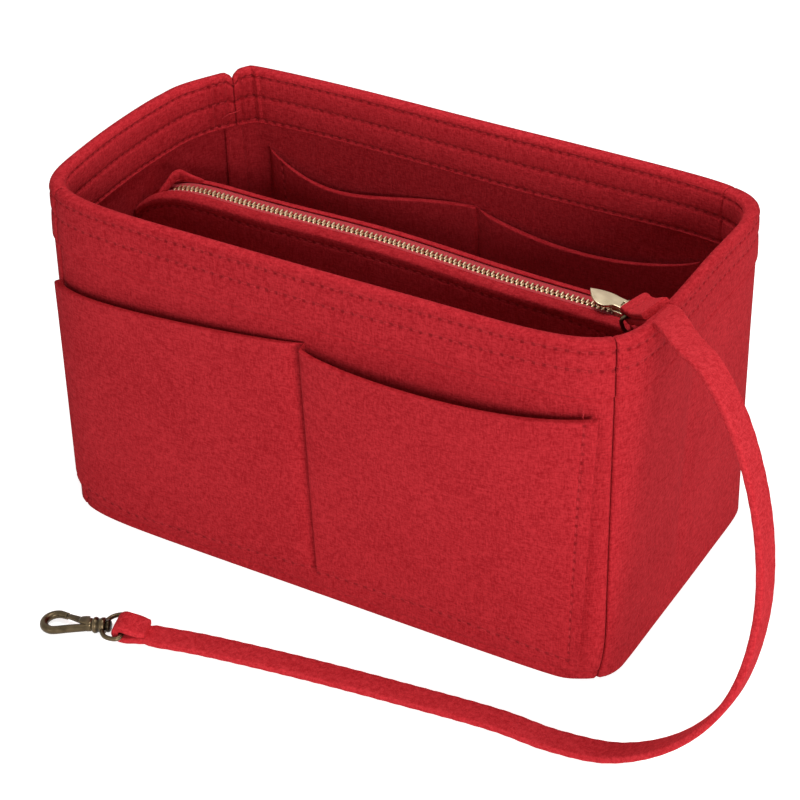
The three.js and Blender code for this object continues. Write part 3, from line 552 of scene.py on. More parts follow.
strap_rows = []
row_sides = np.linspace(-4.6, 4.6, 16)
for s_row in (LOOP_EASE + 1.5, RING_TAIL - 2.5):
    place, _, across, normal = strap_frame(np.full(16, s_row))
    path = place + normal * (LAYER + STRAP_THICK / 2 + 0.1) + across * row_sides[:, None]
    strap_rows += stitch_row(path, normal, pitch=2.4)
ring_fold_stitches = make("strap_fold_stitches", gathered(strap_rows), stitch_thread)
print(len(strap_rows), "stitches hold the fold at the ring")

# %% [markdown]
# ## The shape of the wall
# Front, ends and back follow one loop: a rectangle whose four corners are
# rounded, each by its own power, at the foot and again at the rim. One
# function gives a point of the wall from the turn round the loop, the height
# and the depth into the felt. All wall pieces, pockets and stitch rows use
# it, so nothing has to be fitted by eye. A slow ripple keeps the felt from
# looking like sheet metal.

# %% Wall loop
FELT, HEIGHT, HEM_DEPTH = 2.5, 163.0, 29.0
HEM_THICK = 2 * FELT + 0.2
FOOT = {"right": 129, "left": 140.5, "front": 71, "back": 76, "powers": (9, 13, 13.5, 8)}
RIM = {"right": 136.3, "left": 139.4, "front": 72, "back": 67.4, "powers": (7.2, 6.2, 8.6, 9)}
REAR_FOLD, FOLD_EASE = ((-114.3, 68.0), (-139.4, 27.0)), (0.8, 9.0)
CREASE_TURN, CREASE_WIDE, CREASE_DEEP = 1.47, 0.05, 1.1


def loop_point(level, turn, inset):
    turn = np.mod(turn, 4)
    side = np.minimum(np.floor(turn).astype(int), 3)
    part = turn - side
    corner = (side + (part >= 0.5)) % 4
    power = np.asarray(level["powers"], float)[corner]
    reach = 2 ** (-1 / power) * np.abs(2 * part - 1)
    rest = np.maximum(0, 1 - reach**power) ** (1 / power)
    right, rear = (corner == 1) | (corner == 2), corner >= 2
    wide = np.where(right, level["right"], level["left"]) - inset
    deep = np.where(rear, level["back"], level["front"]) - inset
    long_side = side % 2 == 0
    x = np.where(right, 1, -1) * wide * np.where(long_side, reach, rest)
    y = np.where(rear, 1, -1) * deep * np.where(long_side, rest, reach)
    return np.stack([x, y], -1)


def drawn_in(point, inset):
    """The rear left corner of the rim is pulled flat between two creases."""
    start, finish = np.array(REAR_FOLD)
    chord = unit(finish - start)
    out = np.array([chord[1], -chord[0]])
    past = point @ out - (start @ out - inset)
    share = np.clip((point - start) @ chord / np.linalg.norm(finish - start), 0, 1)
    over = (past + np.hypot(past, FOLD_EASE[0] + (FOLD_EASE[1] - FOLD_EASE[0]) * share**2)) / 2
    return point - out * over[..., None]


def ripple(turn, z):
    """Slow waves of the wall, and the inward crease down the right end."""
    angle = math.pi / 2 * turn
    wave = 0.26 * np.sin(5 * angle + z / 60) + 0.2 * np.sin(9 * angle + 1 - z / 45)
    crease = CREASE_DEEP * np.exp(-((np.abs(turn - CREASE_TURN) / CREASE_WIDE) ** 1.5))
    crease = crease * np.clip((HEIGHT - 22 - z) / 40, 0, 1) * ease(z / 45)
    return wave * (0.25 + 0.75 * z / HEIGHT) + crease


def wall(turn, z, inset):
    turn, z, inset = np.broadcast_arrays(*(np.asarray(v, float) for v in (turn, z, inset)))
    depth = inset + ripple(turn, z)
    foot = loop_point(FOOT, turn, depth)
    rim = drawn_in(loop_point(RIM, turn, depth), depth)
    flat = foot + (rim - foot) * (z / HEIGHT)[..., None]
    return np.concatenate([flat, z[..., None]], -1)


def wall_columns(start, finish, pitch=1.7, z=100.0):
    """Turns from start to finish at an even pitch, closer at both ends, with their run."""
    fine = np.linspace(start, finish, 3000)
    run = lengths_along(wall(fine, z, 0))
    ends = np.array([0.12, 0.3, 0.55, 0.85, 1.2])
    even = np.linspace(0, run[-1], int(run[-1] / pitch))[2:-2]
    marks = np.sort(np.concatenate([[0], ends, even, run[-1] - ends, [run[-1]]]))
    return np.interp(marks, run, fine), marks, run[-1]


print("rim", RIM["right"] + RIM["left"], "mm long and", RIM["front"] + RIM["back"], "mm deep")

# %% [markdown]
# ## The look of a sewn hem
# The felt is folded inwards at the rim and sewn down in three rows, so the
# hem looks quilted: it is thin at each row and swells between the rows. Small
# formulas for a rounded edge, a dent and a swell are shared by all the felt
# pieces. Sculpting would give the same forms, but not the same on each panel.

# %% Rows, dents and swells
ROWS_OUT = [HEIGHT - d for d in (13.6, 4.8)]
ROWS_IN = [HEIGHT - d for d in (27.3, 15.3, 4.3)]
HEM_CREASE = HEIGHT - 26
HEM_FOOT = HEIGHT - HEM_DEPTH
FOOT_SEAM = 4.2
GROOVE_OUT, SWELL_OUT, GROOVE_IN, SWELL_IN, GROOVE_WIDE = 0.34, 0.18, 0.62, 0.42, 0.95
WANDER_TURN = (0, 0.2, 0.4, 0.6, 0.75, 0.9, 1.03, 2.0, 2.08, 2.25, 2.44, 2.6, 2.8, 3.0, 4.0)
WANDER_DROP = (0, 0, 0.4, 0.1, -0.8, -1.3, -1.3, -1.0, -0.8, 0.3, 0.2, -0.5, -1.4, -1.5, 0)


def rounding(distance, radius):
    """How far a rounded edge falls back at a distance from the edge."""
    rest = np.clip(1 - np.asarray(distance, float) / radius, 0, 1)
    return radius * (1 - np.sqrt(np.maximum(0, 1 - rest * rest)))


def dent(distance, width):
    return np.exp(-((np.asarray(distance, float) / width) ** 2))


def hem_swell(z, edges):
    swell = np.zeros_like(z)
    for low, high in zip(edges[:-1], edges[1:]):
        inside = (z > low) & (z < high)
        share = np.where(inside, (z - low) / (high - low), 0)
        swell += np.where(inside, np.sin(math.pi * share) ** 0.8, 0)
    return swell


def wandered(z, turn):
    """The sewer's rows are not quite level round the rim."""
    drop = np.interp(np.mod(turn, 4), WANDER_TURN, WANDER_DROP)
    return z - drop * np.sin(math.pi * np.clip((z - 120) / (HEIGHT - 120), 0, 1))


print("rows on the outside at", ROWS_OUT, "and inside at", [round(row, 1) for row in ROWS_IN])

# %% [markdown]
# ## Section of a hemmed panel
# The section of a panel is written as two lists of depths, outside and inside,
# for a list of heights. Close heights at the rows, the fold and the raw edge
# of the hem give the geometry its crisp lines without a sculpt.

# %% Section of a hemmed panel
def hemmed_section():
    """Heights with the depth of the outside and of the inside of the felt."""
    low = [0, 0.35, 0.9, 1.8, 3.0, 3.7, 4.2, 4.7, 5.4, 6.6]
    plain = np.arange(9.5, HEM_FOOT - 3, 3.4).tolist()
    edge = [HEM_FOOT - 2, HEM_FOOT - 0.5, HEM_FOOT - 0.05]
    step = [HEM_FOOT, HEM_FOOT + 0.08, HEM_FOOT + 0.3, HEM_FOOT + 0.8]
    half = HEM_THICK / 2
    hem = np.arange(HEM_FOOT + 1.6, HEIGHT - half - 0.4, 1.15).tolist()
    hem += [HEM_CREASE + d for d in (-2, -1.2, -0.6, -0.2, 0.1, 0.4, 0.8)]
    for row in ROWS_OUT + ROWS_IN:
        hem += [row - 2, row - 0.6, row, row + 0.6, row + 2]
    hem = sorted(v for v in set(np.round(hem, 2)) if HEM_FOOT + 0.9 < v < HEIGHT - half - 0.3)
    z = np.array(low + plain + edge + step + hem)
    outside = rounding(z, 0.9)
    inside = np.where(z < HEM_FOOT, FELT, HEM_THICK) - rounding(z, 0.9)
    hem_edge = np.clip(z - HEM_FOOT, 0, None)
    inside = np.where(z >= HEM_FOOT, inside - rounding(hem_edge, 0.7), inside)
    outside += GROOVE_OUT * sum(dent(z - row, GROOVE_WIDE) for row in ROWS_OUT)
    outside -= SWELL_OUT * hem_swell(z, [HEM_CREASE] + ROWS_OUT + [HEIGHT])
    past_crease = np.clip(z - HEM_CREASE, 0, None)
    outside -= 0.55 * np.clip(past_crease / 0.7, 0, 1) * np.exp(-past_crease / 9)
    outside += 0.4 * dent(z - HEM_CREASE + 0.8, 0.9)
    inside -= GROOVE_IN * sum(dent(z - row, GROOVE_WIDE) for row in ROWS_IN)
    inside += SWELL_IN * hem_swell(z, [HEM_FOOT] + ROWS_IN + [HEIGHT])
    angle = np.radians([0, 18, 36, 54, 70, 82, 89])
    fold_z = HEIGHT - half + half * np.sin(angle)
    fold_out = half * (1 - np.cos(angle))
    z = np.concatenate([z, fold_z])
    outside = np.concatenate([outside, fold_out])
    inside = np.concatenate([inside, HEM_THICK - fold_out])
    return z, outside, inside


section_z, section_out, section_in = hemmed_section()
print("hemmed section has", len(section_z), "heights")

# %% [markdown]
# ## The four wall panels
# Front, ends and back are cut apart and sewn edge to edge at the corners. Each
# panel bends the hemmed section along its own part of the loop. Its outer ends
# are rounded, which draws the seam as a dark line, and its inner edges touch,
# so that no light comes through. Small dents in the inner hem are the gathers
# of the rear left corner.

# %% The four wall panels
FRONT_RIGHT, REAR_RIGHT, REAR_LEFT = 1.03, 2.022, 3
SEAMS = {
    "front_panel": (0, FRONT_RIGHT), "right_gusset": (FRONT_RIGHT, REAR_RIGHT),
    "back_panel": (REAR_RIGHT, REAR_LEFT), "left_gusset": (REAR_LEFT, 4),
}
SEAM_GAP = 0.15
NOTCH_RUN, NOTCH_DROP = 5.0, 3.4
GATHERS = (3.2, 6.4, 10.0, 14.5)
CORNER_LIFT, CORNER_REACH, CORNER_HIGH = 2.2, 0.09, 26


def nearest_row(z, rows):
    """Distance from each height to the nearest of some rows."""
    return np.min([np.abs(z - row) for row in rows], axis=0)


def notch(z, distance):
    """The rim dips where the two panels meet in the rear left corner."""
    fall = NOTCH_DROP * np.clip(1 - distance / NOTCH_RUN, 0, 1) ** 2
    return z - fall * ease((z - 140) / 23)


def rounded_foot(turn, z):
    """The front right corner is rounded at the foot: it curves away and lifts off the table."""
    near = ease(1 - np.abs(turn - FRONT_RIGHT) / CORNER_REACH) * np.clip(1 - z / CORNER_HIGH, 0, 1) ** 2
    return turn - 0.02 * near, z + CORNER_LIFT * near


def wall_panel(name, start, finish):
    turns, marks, run = wall_columns(start, finish)
    gap = SEAM_GAP * (finish - start) / run
    slit = (np.clip(turns, start + gap, finish - gap) - turns)[:, None]
    from_end = np.minimum(marks, run - marks)
    z = wandered(section_z, turns[:, None])
    outside = section_out + rounding(from_end, 1.6)[:, None]
    inside = section_in - rounding(from_end, 1.2)[:, None]
    if name in ("back_panel", "left_gusset"):
        seam = (run - marks) if name == "back_panel" else marks
        z = notch(z, seam[:, None])
        in_hem = ease((section_z - HEM_FOOT) / 3)
        for spot in GATHERS:
            inside = inside - 1.3 * dent(seam - spot, 0.8)[:, None] * in_hem
            inside = inside + 0.5 * dent(seam - spot - 1.6, 0.8)[:, None] * in_hem
    if name in ("front_panel", "back_panel"):
        outside = outside + 0.7 * dent(section_z - FOOT_SEAM, 0.7)
    thin = outside > inside - 0.05
    middle = (outside + inside) / 2
    outside, inside = np.where(thin, middle - 0.02, outside), np.where(thin, middle + 0.02, inside)
    shifted, z = rounded_foot(turns[:, None], z)
    grids = [wall(shifted + slit, z, outside), wall(shifted, z, inside)]
    dents = [row_marks(marks[:, None], nearest_row(section_z, rows) + 0 * z) for rows in (ROWS_OUT, ROWS_IN)]
    piece = make(
        name + "_felt", sheet_solid(*grids), red_felt, stands_for=[name],
        marks=np.concatenate(dents),
    )
    flat = (run * MM, (HEIGHT + HEM_DEPTH) * MM)
    return piece, flat, turns, marks, run


wall_panels = {}
for panel_name, (start, finish) in SEAMS.items():
    wall_panels[panel_name] = wall_panel(panel_name, start, finish)
    print(panel_name, "cut to", [round(v * 1000) for v in wall_panels[panel_name][1]], "mm")

# %% [markdown]
# ## Sewing the hems
# Two rows show on the outside of each hem and three on the inside. A row is walked at its own height and
# depth, so its stitches lie in the groove that the section leaves for them.

# %% Stitch rows of the hems
def hem_stitches(name):
    turns, marks, run = wall_panels[name][2:]
    keep = (marks > 2.5) & (marks < run - 2.5)
    some = turns[keep]
    rows = []
    for depths, sign, heights in ((section_out, -1, ROWS_OUT), (section_in, 1, ROWS_IN)):
        for row in heights:
            depth = np.interp(row, section_z, depths)
            z = wandered(row, some)
            path = wall(some, z, depth)
            normals = surface_normals(wall(some, z, depth + sign), path)
            rows += stitch_row(path, normals, runs=marks[keep])
    return make(name + "_stitches", gathered(rows), stitch_thread)


for panel_name in SEAMS:
    row_piece = hem_stitches(panel_name)
    piece, flat = wall_panels[panel_name][:2]
    print(row_piece.name, "has", len(row_piece.data.polygons), "faces")

# %% [markdown]
# ## The base
# The base is one flat piece inside the foot of the walls. It is made of rings
# that shrink towards the middle, and it is puckered a little, as felt is that
# has been sewn all round. Its edge is tucked into the walls, so that no gap
# shows from above.

# %% Base panel
TUCKED_IN = 0.9
base_turns = np.linspace(0, 4, 321)[:-1]
base_rings = []
for face_z, sign in ((FELT, 1), (0.0, -1)):
    rings = []
    shifted, lifted = rounded_foot(base_turns, face_z)
    for share in np.linspace(0, 1, 16):
        edge = wall(shifted, lifted, FELT - TUCKED_IN) * (share, share, 1)
        edge[:, 2] = face_z + (lifted - face_z) * share**8
        edge[:, 2] -= sign * 0.25 * (0.5 + 0.5 * np.sin(edge[:, 0] / 17) * np.cos(edge[:, 1] / 13))
        rings.append(edge)
    base_rings.append(rings[::sign])
base_mesh = loft(base_rings[0][1:] + base_rings[1][:-1])
base_panel = make("base_panel_felt", base_mesh, red_felt, stands_for=["base_panel"])

# %% [markdown]
# ## Patch pockets
# One strip of felt makes two pockets: it is sewn at its ends, along its foot
# and down its middle, and its mouth gapes. The mouth sags between the sewn
# lines, and the gape is widest nearer one end of each pocket. A cloth solver
# could find that, but typed heights, dips and gapes follow the real pockets
# more closely.

# %% Mouths of the pockets
OUTER_TURN, INNER_TURN = (0.003, 0.49, 0.994), (2.059, 2.507, 2.929)
OUTER_POCKET = {
    "heights": (120, 130, 132.7), "dips": (0.5, 4.5), "gapes": (5.0, 7.4), "skews": (0.88, 0.8),
    "pleat": 2.6, "slant": 5.0,
}
INNER_POCKET = {
    "heights": (124, 119.7, 123.5), "dips": (9.2, 9.8), "gapes": (3.8, 6.5), "skews": (0.86, 1.84),
    "pleat": 0.0, "slant": 0.0,
}
OUTER_FOOT = (
    (-140, -123, -96, -61, -35, 4.5, 53, 85, 119, 140),
    (13.5, 13, 9, 11, 12.5, 14.7, 14.6, 13.2, 11.3, 11),
)
INNER_FOOT = (-140, 140), (FELT + FIT, FELT + FIT)


def pocket_shape(pocket, turns, w):
    """Height of the mouth at a turn, and how far it gapes there."""
    start, middle, finish = turns
    half = (w >= middle).astype(int)
    share = np.where(half == 0, (w - start) / (middle - start), (w - middle) / (finish - middle))
    begin, end = (np.asarray(pocket["heights"], float)[half + k] for k in (0, 1))
    swing = np.clip(np.sin(math.pi * np.clip(share, 0, 1) ** np.asarray(pocket["skews"])[half]), 0, 1)
    top = begin + (end - begin) * share - np.asarray(pocket["dips"])[half] * swing**0.8
    return top, np.asarray(pocket["gapes"])[half] * swing**0.6


for pocket, turns in ((OUTER_POCKET, OUTER_TURN), (INNER_POCKET, INNER_TURN)):
    mouth = pocket_shape(pocket, turns, np.linspace(turns[0], turns[2], 99))[0]
    print("mouth between", round(float(mouth.min())), "and", round(float(mouth.max())), "mm high")

# %% [markdown]
# ## The pockets' panels
# A panel is a grid of columns along the wall and rows up to the mouth. Its
# felt stands off the wall by the gape, most at the mouth. The second pocket
# starts with a pleat beside the middle seam, and the cut edge at the right
# stands off and leans, with a row of stitches beside it.

# %% Pocket panels
MARGIN, PLEAT_RUN, EDGE_RUN = 9.2, 16, 7


def pocket_panel(name, pocket, turns, depth, sign, foot_line):
    start, middle, finish = turns
    even_w, even_marks, run = wall_columns(start, finish, pitch=1.7)
    centre = np.interp(middle, even_w, even_marks)
    extra = centre + np.array([-4, -2.6, -1.2, -0.7, -0.35, -0.05, 0.35, 0.7, 1.2, 2.0, 3.0])
    row_end = run - np.array([9.5, 8.5, 7.5, 6.5, 5.5])
    marks = np.unique(np.concatenate([even_marks, extra, row_end]))
    w = np.interp(marks, even_marks, even_w)
    top, gape = pocket_shape(pocket, turns, w)
    foot = np.interp(wall(w, 12.0, 0)[:, 0], *foot_line)
    foot = foot + 5 * np.clip(1 - marks / 5, 0, 1) ** 2
    rise = np.concatenate([
        np.array([0, 0.3, 0.7, 1.2, 1.6, 2.2, 3.2, 3.8, 4.4, 5.4]) / 118,
        np.linspace(0.065, 0.98, 52),
        1 - np.array([1.4, 0.9, 0.55, 0.28, 0.1, 0]) / 118,
    ])
    z = foot[:, None] + (top - foot)[:, None] * rise
    stand = gape[:, None] * rise**0.75
    past = np.clip(marks - centre, 0, None)
    pleat = pocket["pleat"] * np.clip(past / 0.7, 0, 1) * np.exp(-past / PLEAT_RUN)
    pleat = pleat + pocket["pleat"] * np.exp(-(run - marks) / EDGE_RUN)
    stand = stand + pleat[:, None] * (0.55 + 0.45 * rise)
    edge = np.minimum(z - foot[:, None], top[:, None] - z)
    from_end = np.minimum(marks, run - marks)
    fall = rounding(edge, 0.6) + rounding(from_end, 0.5)[:, None]
    fall = np.minimum(fall, FELT / 2 - 0.12)
    valley = np.where(marks < centre, 1.7 * dent(marks - centre, 5.5), 0.9 * dent(marks - centre, 0.5))
    row_spot = run - MARGIN + 4 * rise
    foot_row, end_row = z - foot[:, None] - 1.6, marks[:, None] - row_spot
    sewn = valley[:, None] + 0.3 * dent(end_row, 0.9) + 0.25 * dent(foot_row, 0.9)
    sewn = np.minimum(sewn, FELT - 2 * fall - 0.2)
    slant = pocket["slant"] * np.clip((marks - run + 9) / 9, 0, 1)[:, None] * (1 - rise)
    leant = w[:, None] - slant * (finish - start) / run
    near = wall(leant, z, depth + sign * (stand + fall))
    far = wall(leant, z, depth + sign * (stand + FELT - fall - sewn))
    first = (np.abs(foot_row) < np.abs(end_row)) & (marks[:, None] < row_spot)
    nearest = np.where(marks[:, None] < row_spot + 2, np.where(first, foot_row, end_row), 9)
    dents = row_marks(np.where(first, marks[:, None] + 0 * z, z), nearest)
    piece = make(
        name + "_felt", sheet_solid(near, far), red_felt, stands_for=[name],
        marks=np.concatenate([0 * dents, dents]),
    )
    outer = wall(leant, z, depth + sign * (stand + FELT + 1))
    path, over = far[:, 4][2:-8], outer[:, 4][2:-8]
    rows = stitch_row(path, surface_normals(over, path), runs=marks[2:-8])
    spots = np.array([[np.interp(row_spot[j], marks, grid[:, j, k]) for k in range(3)]
                      for grid in (far, outer) for j in range(4, len(rise) - 4)]).reshape(2, -1, 3)
    rows += stitch_row(spots[0], surface_normals(spots[1], spots[0]), runs=spots[0][:, 2])
    sewing = make(name + "_stitches", gathered(rows), stitch_thread)
    return piece, sewing, (run * 1.03 * MM, float(top.max() - foot.min()) * MM)


pocket_jobs = {
    "outer_pocket_panel": (OUTER_POCKET, OUTER_TURN, -FIT, -1, OUTER_FOOT, "front_panel_felt"),
    "inner_pocket_panel": (INNER_POCKET, INNER_TURN, FELT + FIT, 1, INNER_FOOT, "back_panel_felt"),
}
for pocket_name, (*job, behind) in pocket_jobs.items():
    piece, rows, flat = pocket_panel(pocket_name, *job)
    print(pocket_name, "cut to", [round(v * 1000) for v in flat], "mm")

# %% [markdown]
# ## The seam strip
# Inside the rear left corner a narrow strip covers the seam below the hem. It
# is a thin sheet that follows the wall's own formula, so it lies on the felt
# without a gap, where a separate box would stand off at the corner.

# %% Seam strip
strip_turns = np.linspace(REAR_LEFT - 0.014, REAR_LEFT + 0.028, 12)
strip_z = np.concatenate([[FELT + FIT, FELT + FIT + 0.6], np.linspace(8, 130, 30), [135.6, 136.2]])
strip_edge = rounding(np.minimum(np.arange(12), np.arange(12)[::-1]), 0.9)[:, None]
strip_near = wall(strip_turns[:, None], strip_z, FELT + FIT + 0.3 * strip_edge)
strip_far = wall(strip_turns[:, None], strip_z, FELT + FIT + 1.5 - 0.6 * strip_edge)
seam_strip = make(
    "rear_seam_strip_felt", sheet_solid(strip_near, strip_far), red_felt,
    stands_for=["rear_seam_strip"],
)
print("seam strip", len(seam_strip.data.vertices), "points")

# %% [markdown]
# ## The zipped pouch
# The pouch divides the organizer lengthwise. Its plan is long and flat with
# rounded corners. Two panels make its sides, two felt strips lie on top on
# both sides of the zip, and a stitch row runs below the top edge. One formula
# walks along the plan, so front and back differ only by a sign.

# %% Shape of the pouch
SIDES = {"front": -1, "back": 1}
POUCH_LEFT, POUCH_RIGHT, POUCH_HALF_DEPTH, POUCH_TOP = -136.8, 114.0, 9.0, 132.2
POUCH_MIDDLE, POUCH_HALF = (POUCH_LEFT + POUCH_RIGHT) / 2, (POUCH_RIGHT - POUCH_LEFT) / 2
ZIP_GAP_HALF, STRIP_SLOPE, POUCH_ROUND = 4.8, 0.62, 4.0
LEFT_FALL, LEFT_RUN, LEFT_POWER, RIGHT_FALL, RIGHT_RUN = 18, 56.8, 4.5, 4, 6
BOW_DEEP, BOW_MIDDLE, BOW_HALF = 2.6, -14, 71
POUCH_PLACE = Matrix.Translation((0, 3, 0)) @ Matrix.Rotation(math.radians(-1.15), 4, "Z")


def in_pouch(mesh_data):
    """Moves a mesh drawn along the zip to the place of the pouch."""
    points, faces = mesh_data
    turned = np.array(POUCH_PLACE.to_3x3())
    return points @ turned.T + np.array(POUCH_PLACE.translation), faces


def pouch_plan(run, inset, side):
    """Outline of one side from its middle: straight, round the corner, then across the end."""
    straight = POUCH_HALF - POUCH_ROUND
    over = np.clip(np.abs(run) - straight, 0, None)
    bend = np.clip(over / POUCH_ROUND, 0, math.pi / 2)
    past = np.clip(over - POUCH_ROUND * math.pi / 2, 0, None)
    x = np.minimum(np.abs(run), straight) + (POUCH_ROUND - inset) * np.sin(bend)
    y = POUCH_HALF_DEPTH - POUCH_ROUND + (POUCH_ROUND - inset) * np.cos(bend) - past
    return np.stack([POUCH_MIDDLE + np.sign(run) * x, side * y], -1)


def pouch_fall(x):
    """How far the top falls towards both ends, and how steep it is there."""
    left = np.clip(POUCH_LEFT + LEFT_RUN - x, 0, None) / LEFT_RUN
    right = np.clip(x - POUCH_RIGHT + RIGHT_RUN, 0, None) / RIGHT_RUN
    fall = LEFT_FALL * left**LEFT_POWER + RIGHT_FALL * right**2
    slope = LEFT_FALL * LEFT_POWER / LEFT_RUN * left ** (LEFT_POWER - 1) + 2 * RIGHT_FALL / RIGHT_RUN * right
    return fall, np.hypot(1, slope)


def pouch_crest(x, y):
    return POUCH_TOP - pouch_fall(x)[0] - STRIP_SLOPE * np.clip(np.abs(y) - ZIP_GAP_HALF, 0, None)


def zip_bow(x):
    """The zip is not quite straight: its middle lies a little further back."""
    return BOW_DEEP * np.cos(math.pi / 2 * np.clip((x - BOW_MIDDLE) / BOW_HALF, -1, 1)) ** 2


def plan_marks(line, pitch):
    """Runs along the outline at an even pitch, no nearer the zip than a line."""
    most = POUCH_HALF - 2 * POUCH_ROUND + POUCH_ROUND * math.pi / 2 + POUCH_HALF_DEPTH - line
    return np.linspace(-most, most, int(2 * most / pitch))


print("pouch is", POUCH_RIGHT - POUCH_LEFT, "mm long and", 2 * POUCH_HALF_DEPTH, "mm deep")

# %% [markdown]
# ## The pouch's two sides
# Each side is a grid of columns along the plan and rows up to the crest. The
# stitch row below the top edge comes nearer the edge towards the left, so the
# rows of the grid are counted down from the crest, and the groove follows.

# %% Pouch panels
POUCH_PITCH = 4.1


def pouch_panel(place, side):
    along = plan_marks(FIT / 2, 1.7)
    marks = along - along[0]
    low = FELT + FIT
    plan = pouch_plan(along, 0, side)
    top = pouch_crest(*plan.T) + 0.4
    row = 2.4 + 2.2 * ease((plan[:, 0] - 70) / 40)
    below = np.array([9, 7.4, 6, 5.2, 4.6, 4, 3.4, 2.9, 2.4, 1.9, 1.4, 0.9, 0.5, 0.2, 0])
    rise = np.concatenate([np.array([0, 0.4, 1.2, 3]), np.linspace(6, 116, 36)]) / 127
    z = np.concatenate([low + (top - low)[:, None] * rise, top[:, None] - below], 1)
    edge = np.minimum(z - low, top[:, None] - z)
    from_row = top[:, None] - z - row[:, None]
    out = rounding(z - low, 1.1) + 0.3 * dent(from_row, 0.9) + 0.35 * ease(1 - edge / 1.4)
    back = FELT - rounding(edge, 1.1) - 0.2 * dent(from_row, 0.9)
    grids = []
    for depth in (out, back):
        flat = pouch_plan(along[:, None], depth, side)
        wave = 0.5 * np.sin(flat[..., 0] / 31 + side) * np.sin(math.pi * np.clip(z / POUCH_TOP, 0, 1))
        shift = wave * np.abs(plan[:, 1:]) / POUCH_HALF_DEPTH + zip_bow(flat[..., 0]) * (z / POUCH_TOP) ** 2
        grids.append(np.stack([flat[..., 0], flat[..., 1] + shift, z], -1))
    name = f"pouch_{place}_panel"
    dents = row_marks(marks[:, None] * STITCH_PITCH / POUCH_PITCH, from_row)
    piece = make(
        name + "_felt", in_pouch(sheet_solid(*grids)), red_felt, stands_for=[name],
        marks=np.concatenate([dents, 0 * dents]),
    )
    keep = np.abs(plan[:, 1]) > 7.5
    path = np.array([interpolate(np.array([r]), c[::-1], p[::-1])[0]
                     for r, c, p in zip(row[keep], (top[:, None] - z)[keep], grids[0][keep])])
    normal = np.tile([0, side, 0.0], (keep.sum(), 1))
    sewing = in_pouch(gathered(stitch_row(path, normal, pitch=POUCH_PITCH, runs=marks[keep])))
    rows = make(name + "_stitches", sewing, stitch_thread)
    flat = (marks[-1] * MM, (POUCH_TOP - low) * MM)
    return flat


for place, side in SIDES.items():
    print("pouch", place, "cut to", [round(v * 1000) for v in pouch_panel(place, side)], "mm")

# %% [markdown]
# ## Woven tape
# The tape of a zip is a fine twill. It shows only as a narrow line between the
# felt and the teeth, so a wave texture with a little lint is enough, where
# modelled threads would be lost.

# %% Tape material
tape_group, given, result = new_group(
    "tape_twill",
    {"Ribs Per Metre": ("NodeSocketFloat", 1500.0)},
    {"Shade": "NodeSocketFloat", "Height": "NodeSocketFloat"},
)
place_socket = add_node(tape_group, "ShaderNodeTexCoord").outputs["Object"]
tilt = add_node(tape_group, "ShaderNodeMapping", {"Vector": place_socket}, Rotation=(0, 0, 0.9))
ribs = add_node(
    tape_group, "ShaderNodeTexWave", {"Vector": tilt.outputs[0], "Scale": given["Ribs Per Metre"]},
    Distortion=0.6, Detail=1.0,
)
lint = add_node(tape_group, "ShaderNodeTexNoise", {"Vector": place_socket}, Scale=900.0, Detail=2.0)
linty = maths(tape_group, "MULTIPLY", ribs.outputs["Fac"], lint.outputs["Fac"])
tape_group.links.new(linty, result["Shade"])
tape_group.links.new(ribs.outputs["Fac"], result["Height"])

zip_tape, tree, shader = new_material("zip_tape", roughness=0.85)
twill = add_group(tree, tape_group, {})
tape_red = mix_colours(tree, twill["Shade"], (0.40, 0.013, 0.022, 1), (0.64, 0.036, 0.05, 1))
tree.links.new(tape_red, shader.inputs["Base Color"])
bump(tree, shader, twill["Height"], 0.4, 0.0003)
shader.inputs["Sheen Weight"].default_value = 0.1
print("tape material with", len(tape_group.nodes), "group nodes")

# %% [markdown]
# ## Zip strips and tapes
# Each strip is a flat piece of felt between the outline of the pouch and the
# straight edge beside the zip, and the tape lies below it in the same way. So
# one helper makes all four layers, from an inset, a line and a thickness.

# %% Zip strips and tapes
CHAIN_HALF, TAPE_THICK, STRIP_THICK = 3.0, 0.8, 2.0


def flat_strip(inset, line, side, rise, thick, radii, crown):
    """Layer between the outline of the pouch and a line beside the zip."""
    outline = pouch_plan(plan_marks(line + 2 * FIT, 1.6), inset, side)
    share = np.array([0, 0.03, 0.08, 0.16, 0.3, 0.5, 0.62, 0.74, 0.84, 0.92, 0.97, 1])
    y = outline[:, 1:] + (side * line - outline[:, 1:]) * share
    x = np.broadcast_to(outline[:, :1], y.shape)
    slant = pouch_fall(x)[1]
    width = np.abs(side * line - outline[:, 1:])
    fall = np.maximum(rounding(share * width, radii[0]), rounding((1 - share) * width, radii[1]))
    fall = np.minimum(thick * np.where(share < 0.5, 0.48, 0.72), fall)
    hump = np.minimum(crown * np.sin(math.pi * share) * np.sin(x / 23 + side), 0)
    foot = pouch_crest(x, y) + rise * slant
    bowed = y + zip_bow(x)
    high = np.stack([x, bowed, foot + thick * slant - fall + hump], -1)
    low = np.stack([x, bowed, foot - 0.2 + np.minimum(fall, 0.35)], -1)
    return in_pouch(sheet_solid(high, low))


for place, side in SIDES.items():
    strip = flat_strip(-0.25, ZIP_GAP_HALF, side, FIT, STRIP_THICK, (0.8, 3.0), 0.3)
    make(f"zip_strip_{place}_felt", strip, red_felt, stands_for=[f"zip_strip_{place}"])
    tape = flat_strip(FELT + FIT, CHAIN_HALF / 2, side, -TAPE_THICK, TAPE_THICK, (0.2, 0.2), 0.0)
    make(f"zip_tape_{place}_cloth", tape, zip_tape, stands_for=[f"zip_tape_{place}"])
print("zip strips and tapes made")

# %% [markdown]
# ## The turned-up end of the zip
# At the left the front strip is turned across the end of the zip, and it
# climbs to the back strip, so a small felt ear stands up there. It is a band
# lofted along a few points, taller than it is thick.

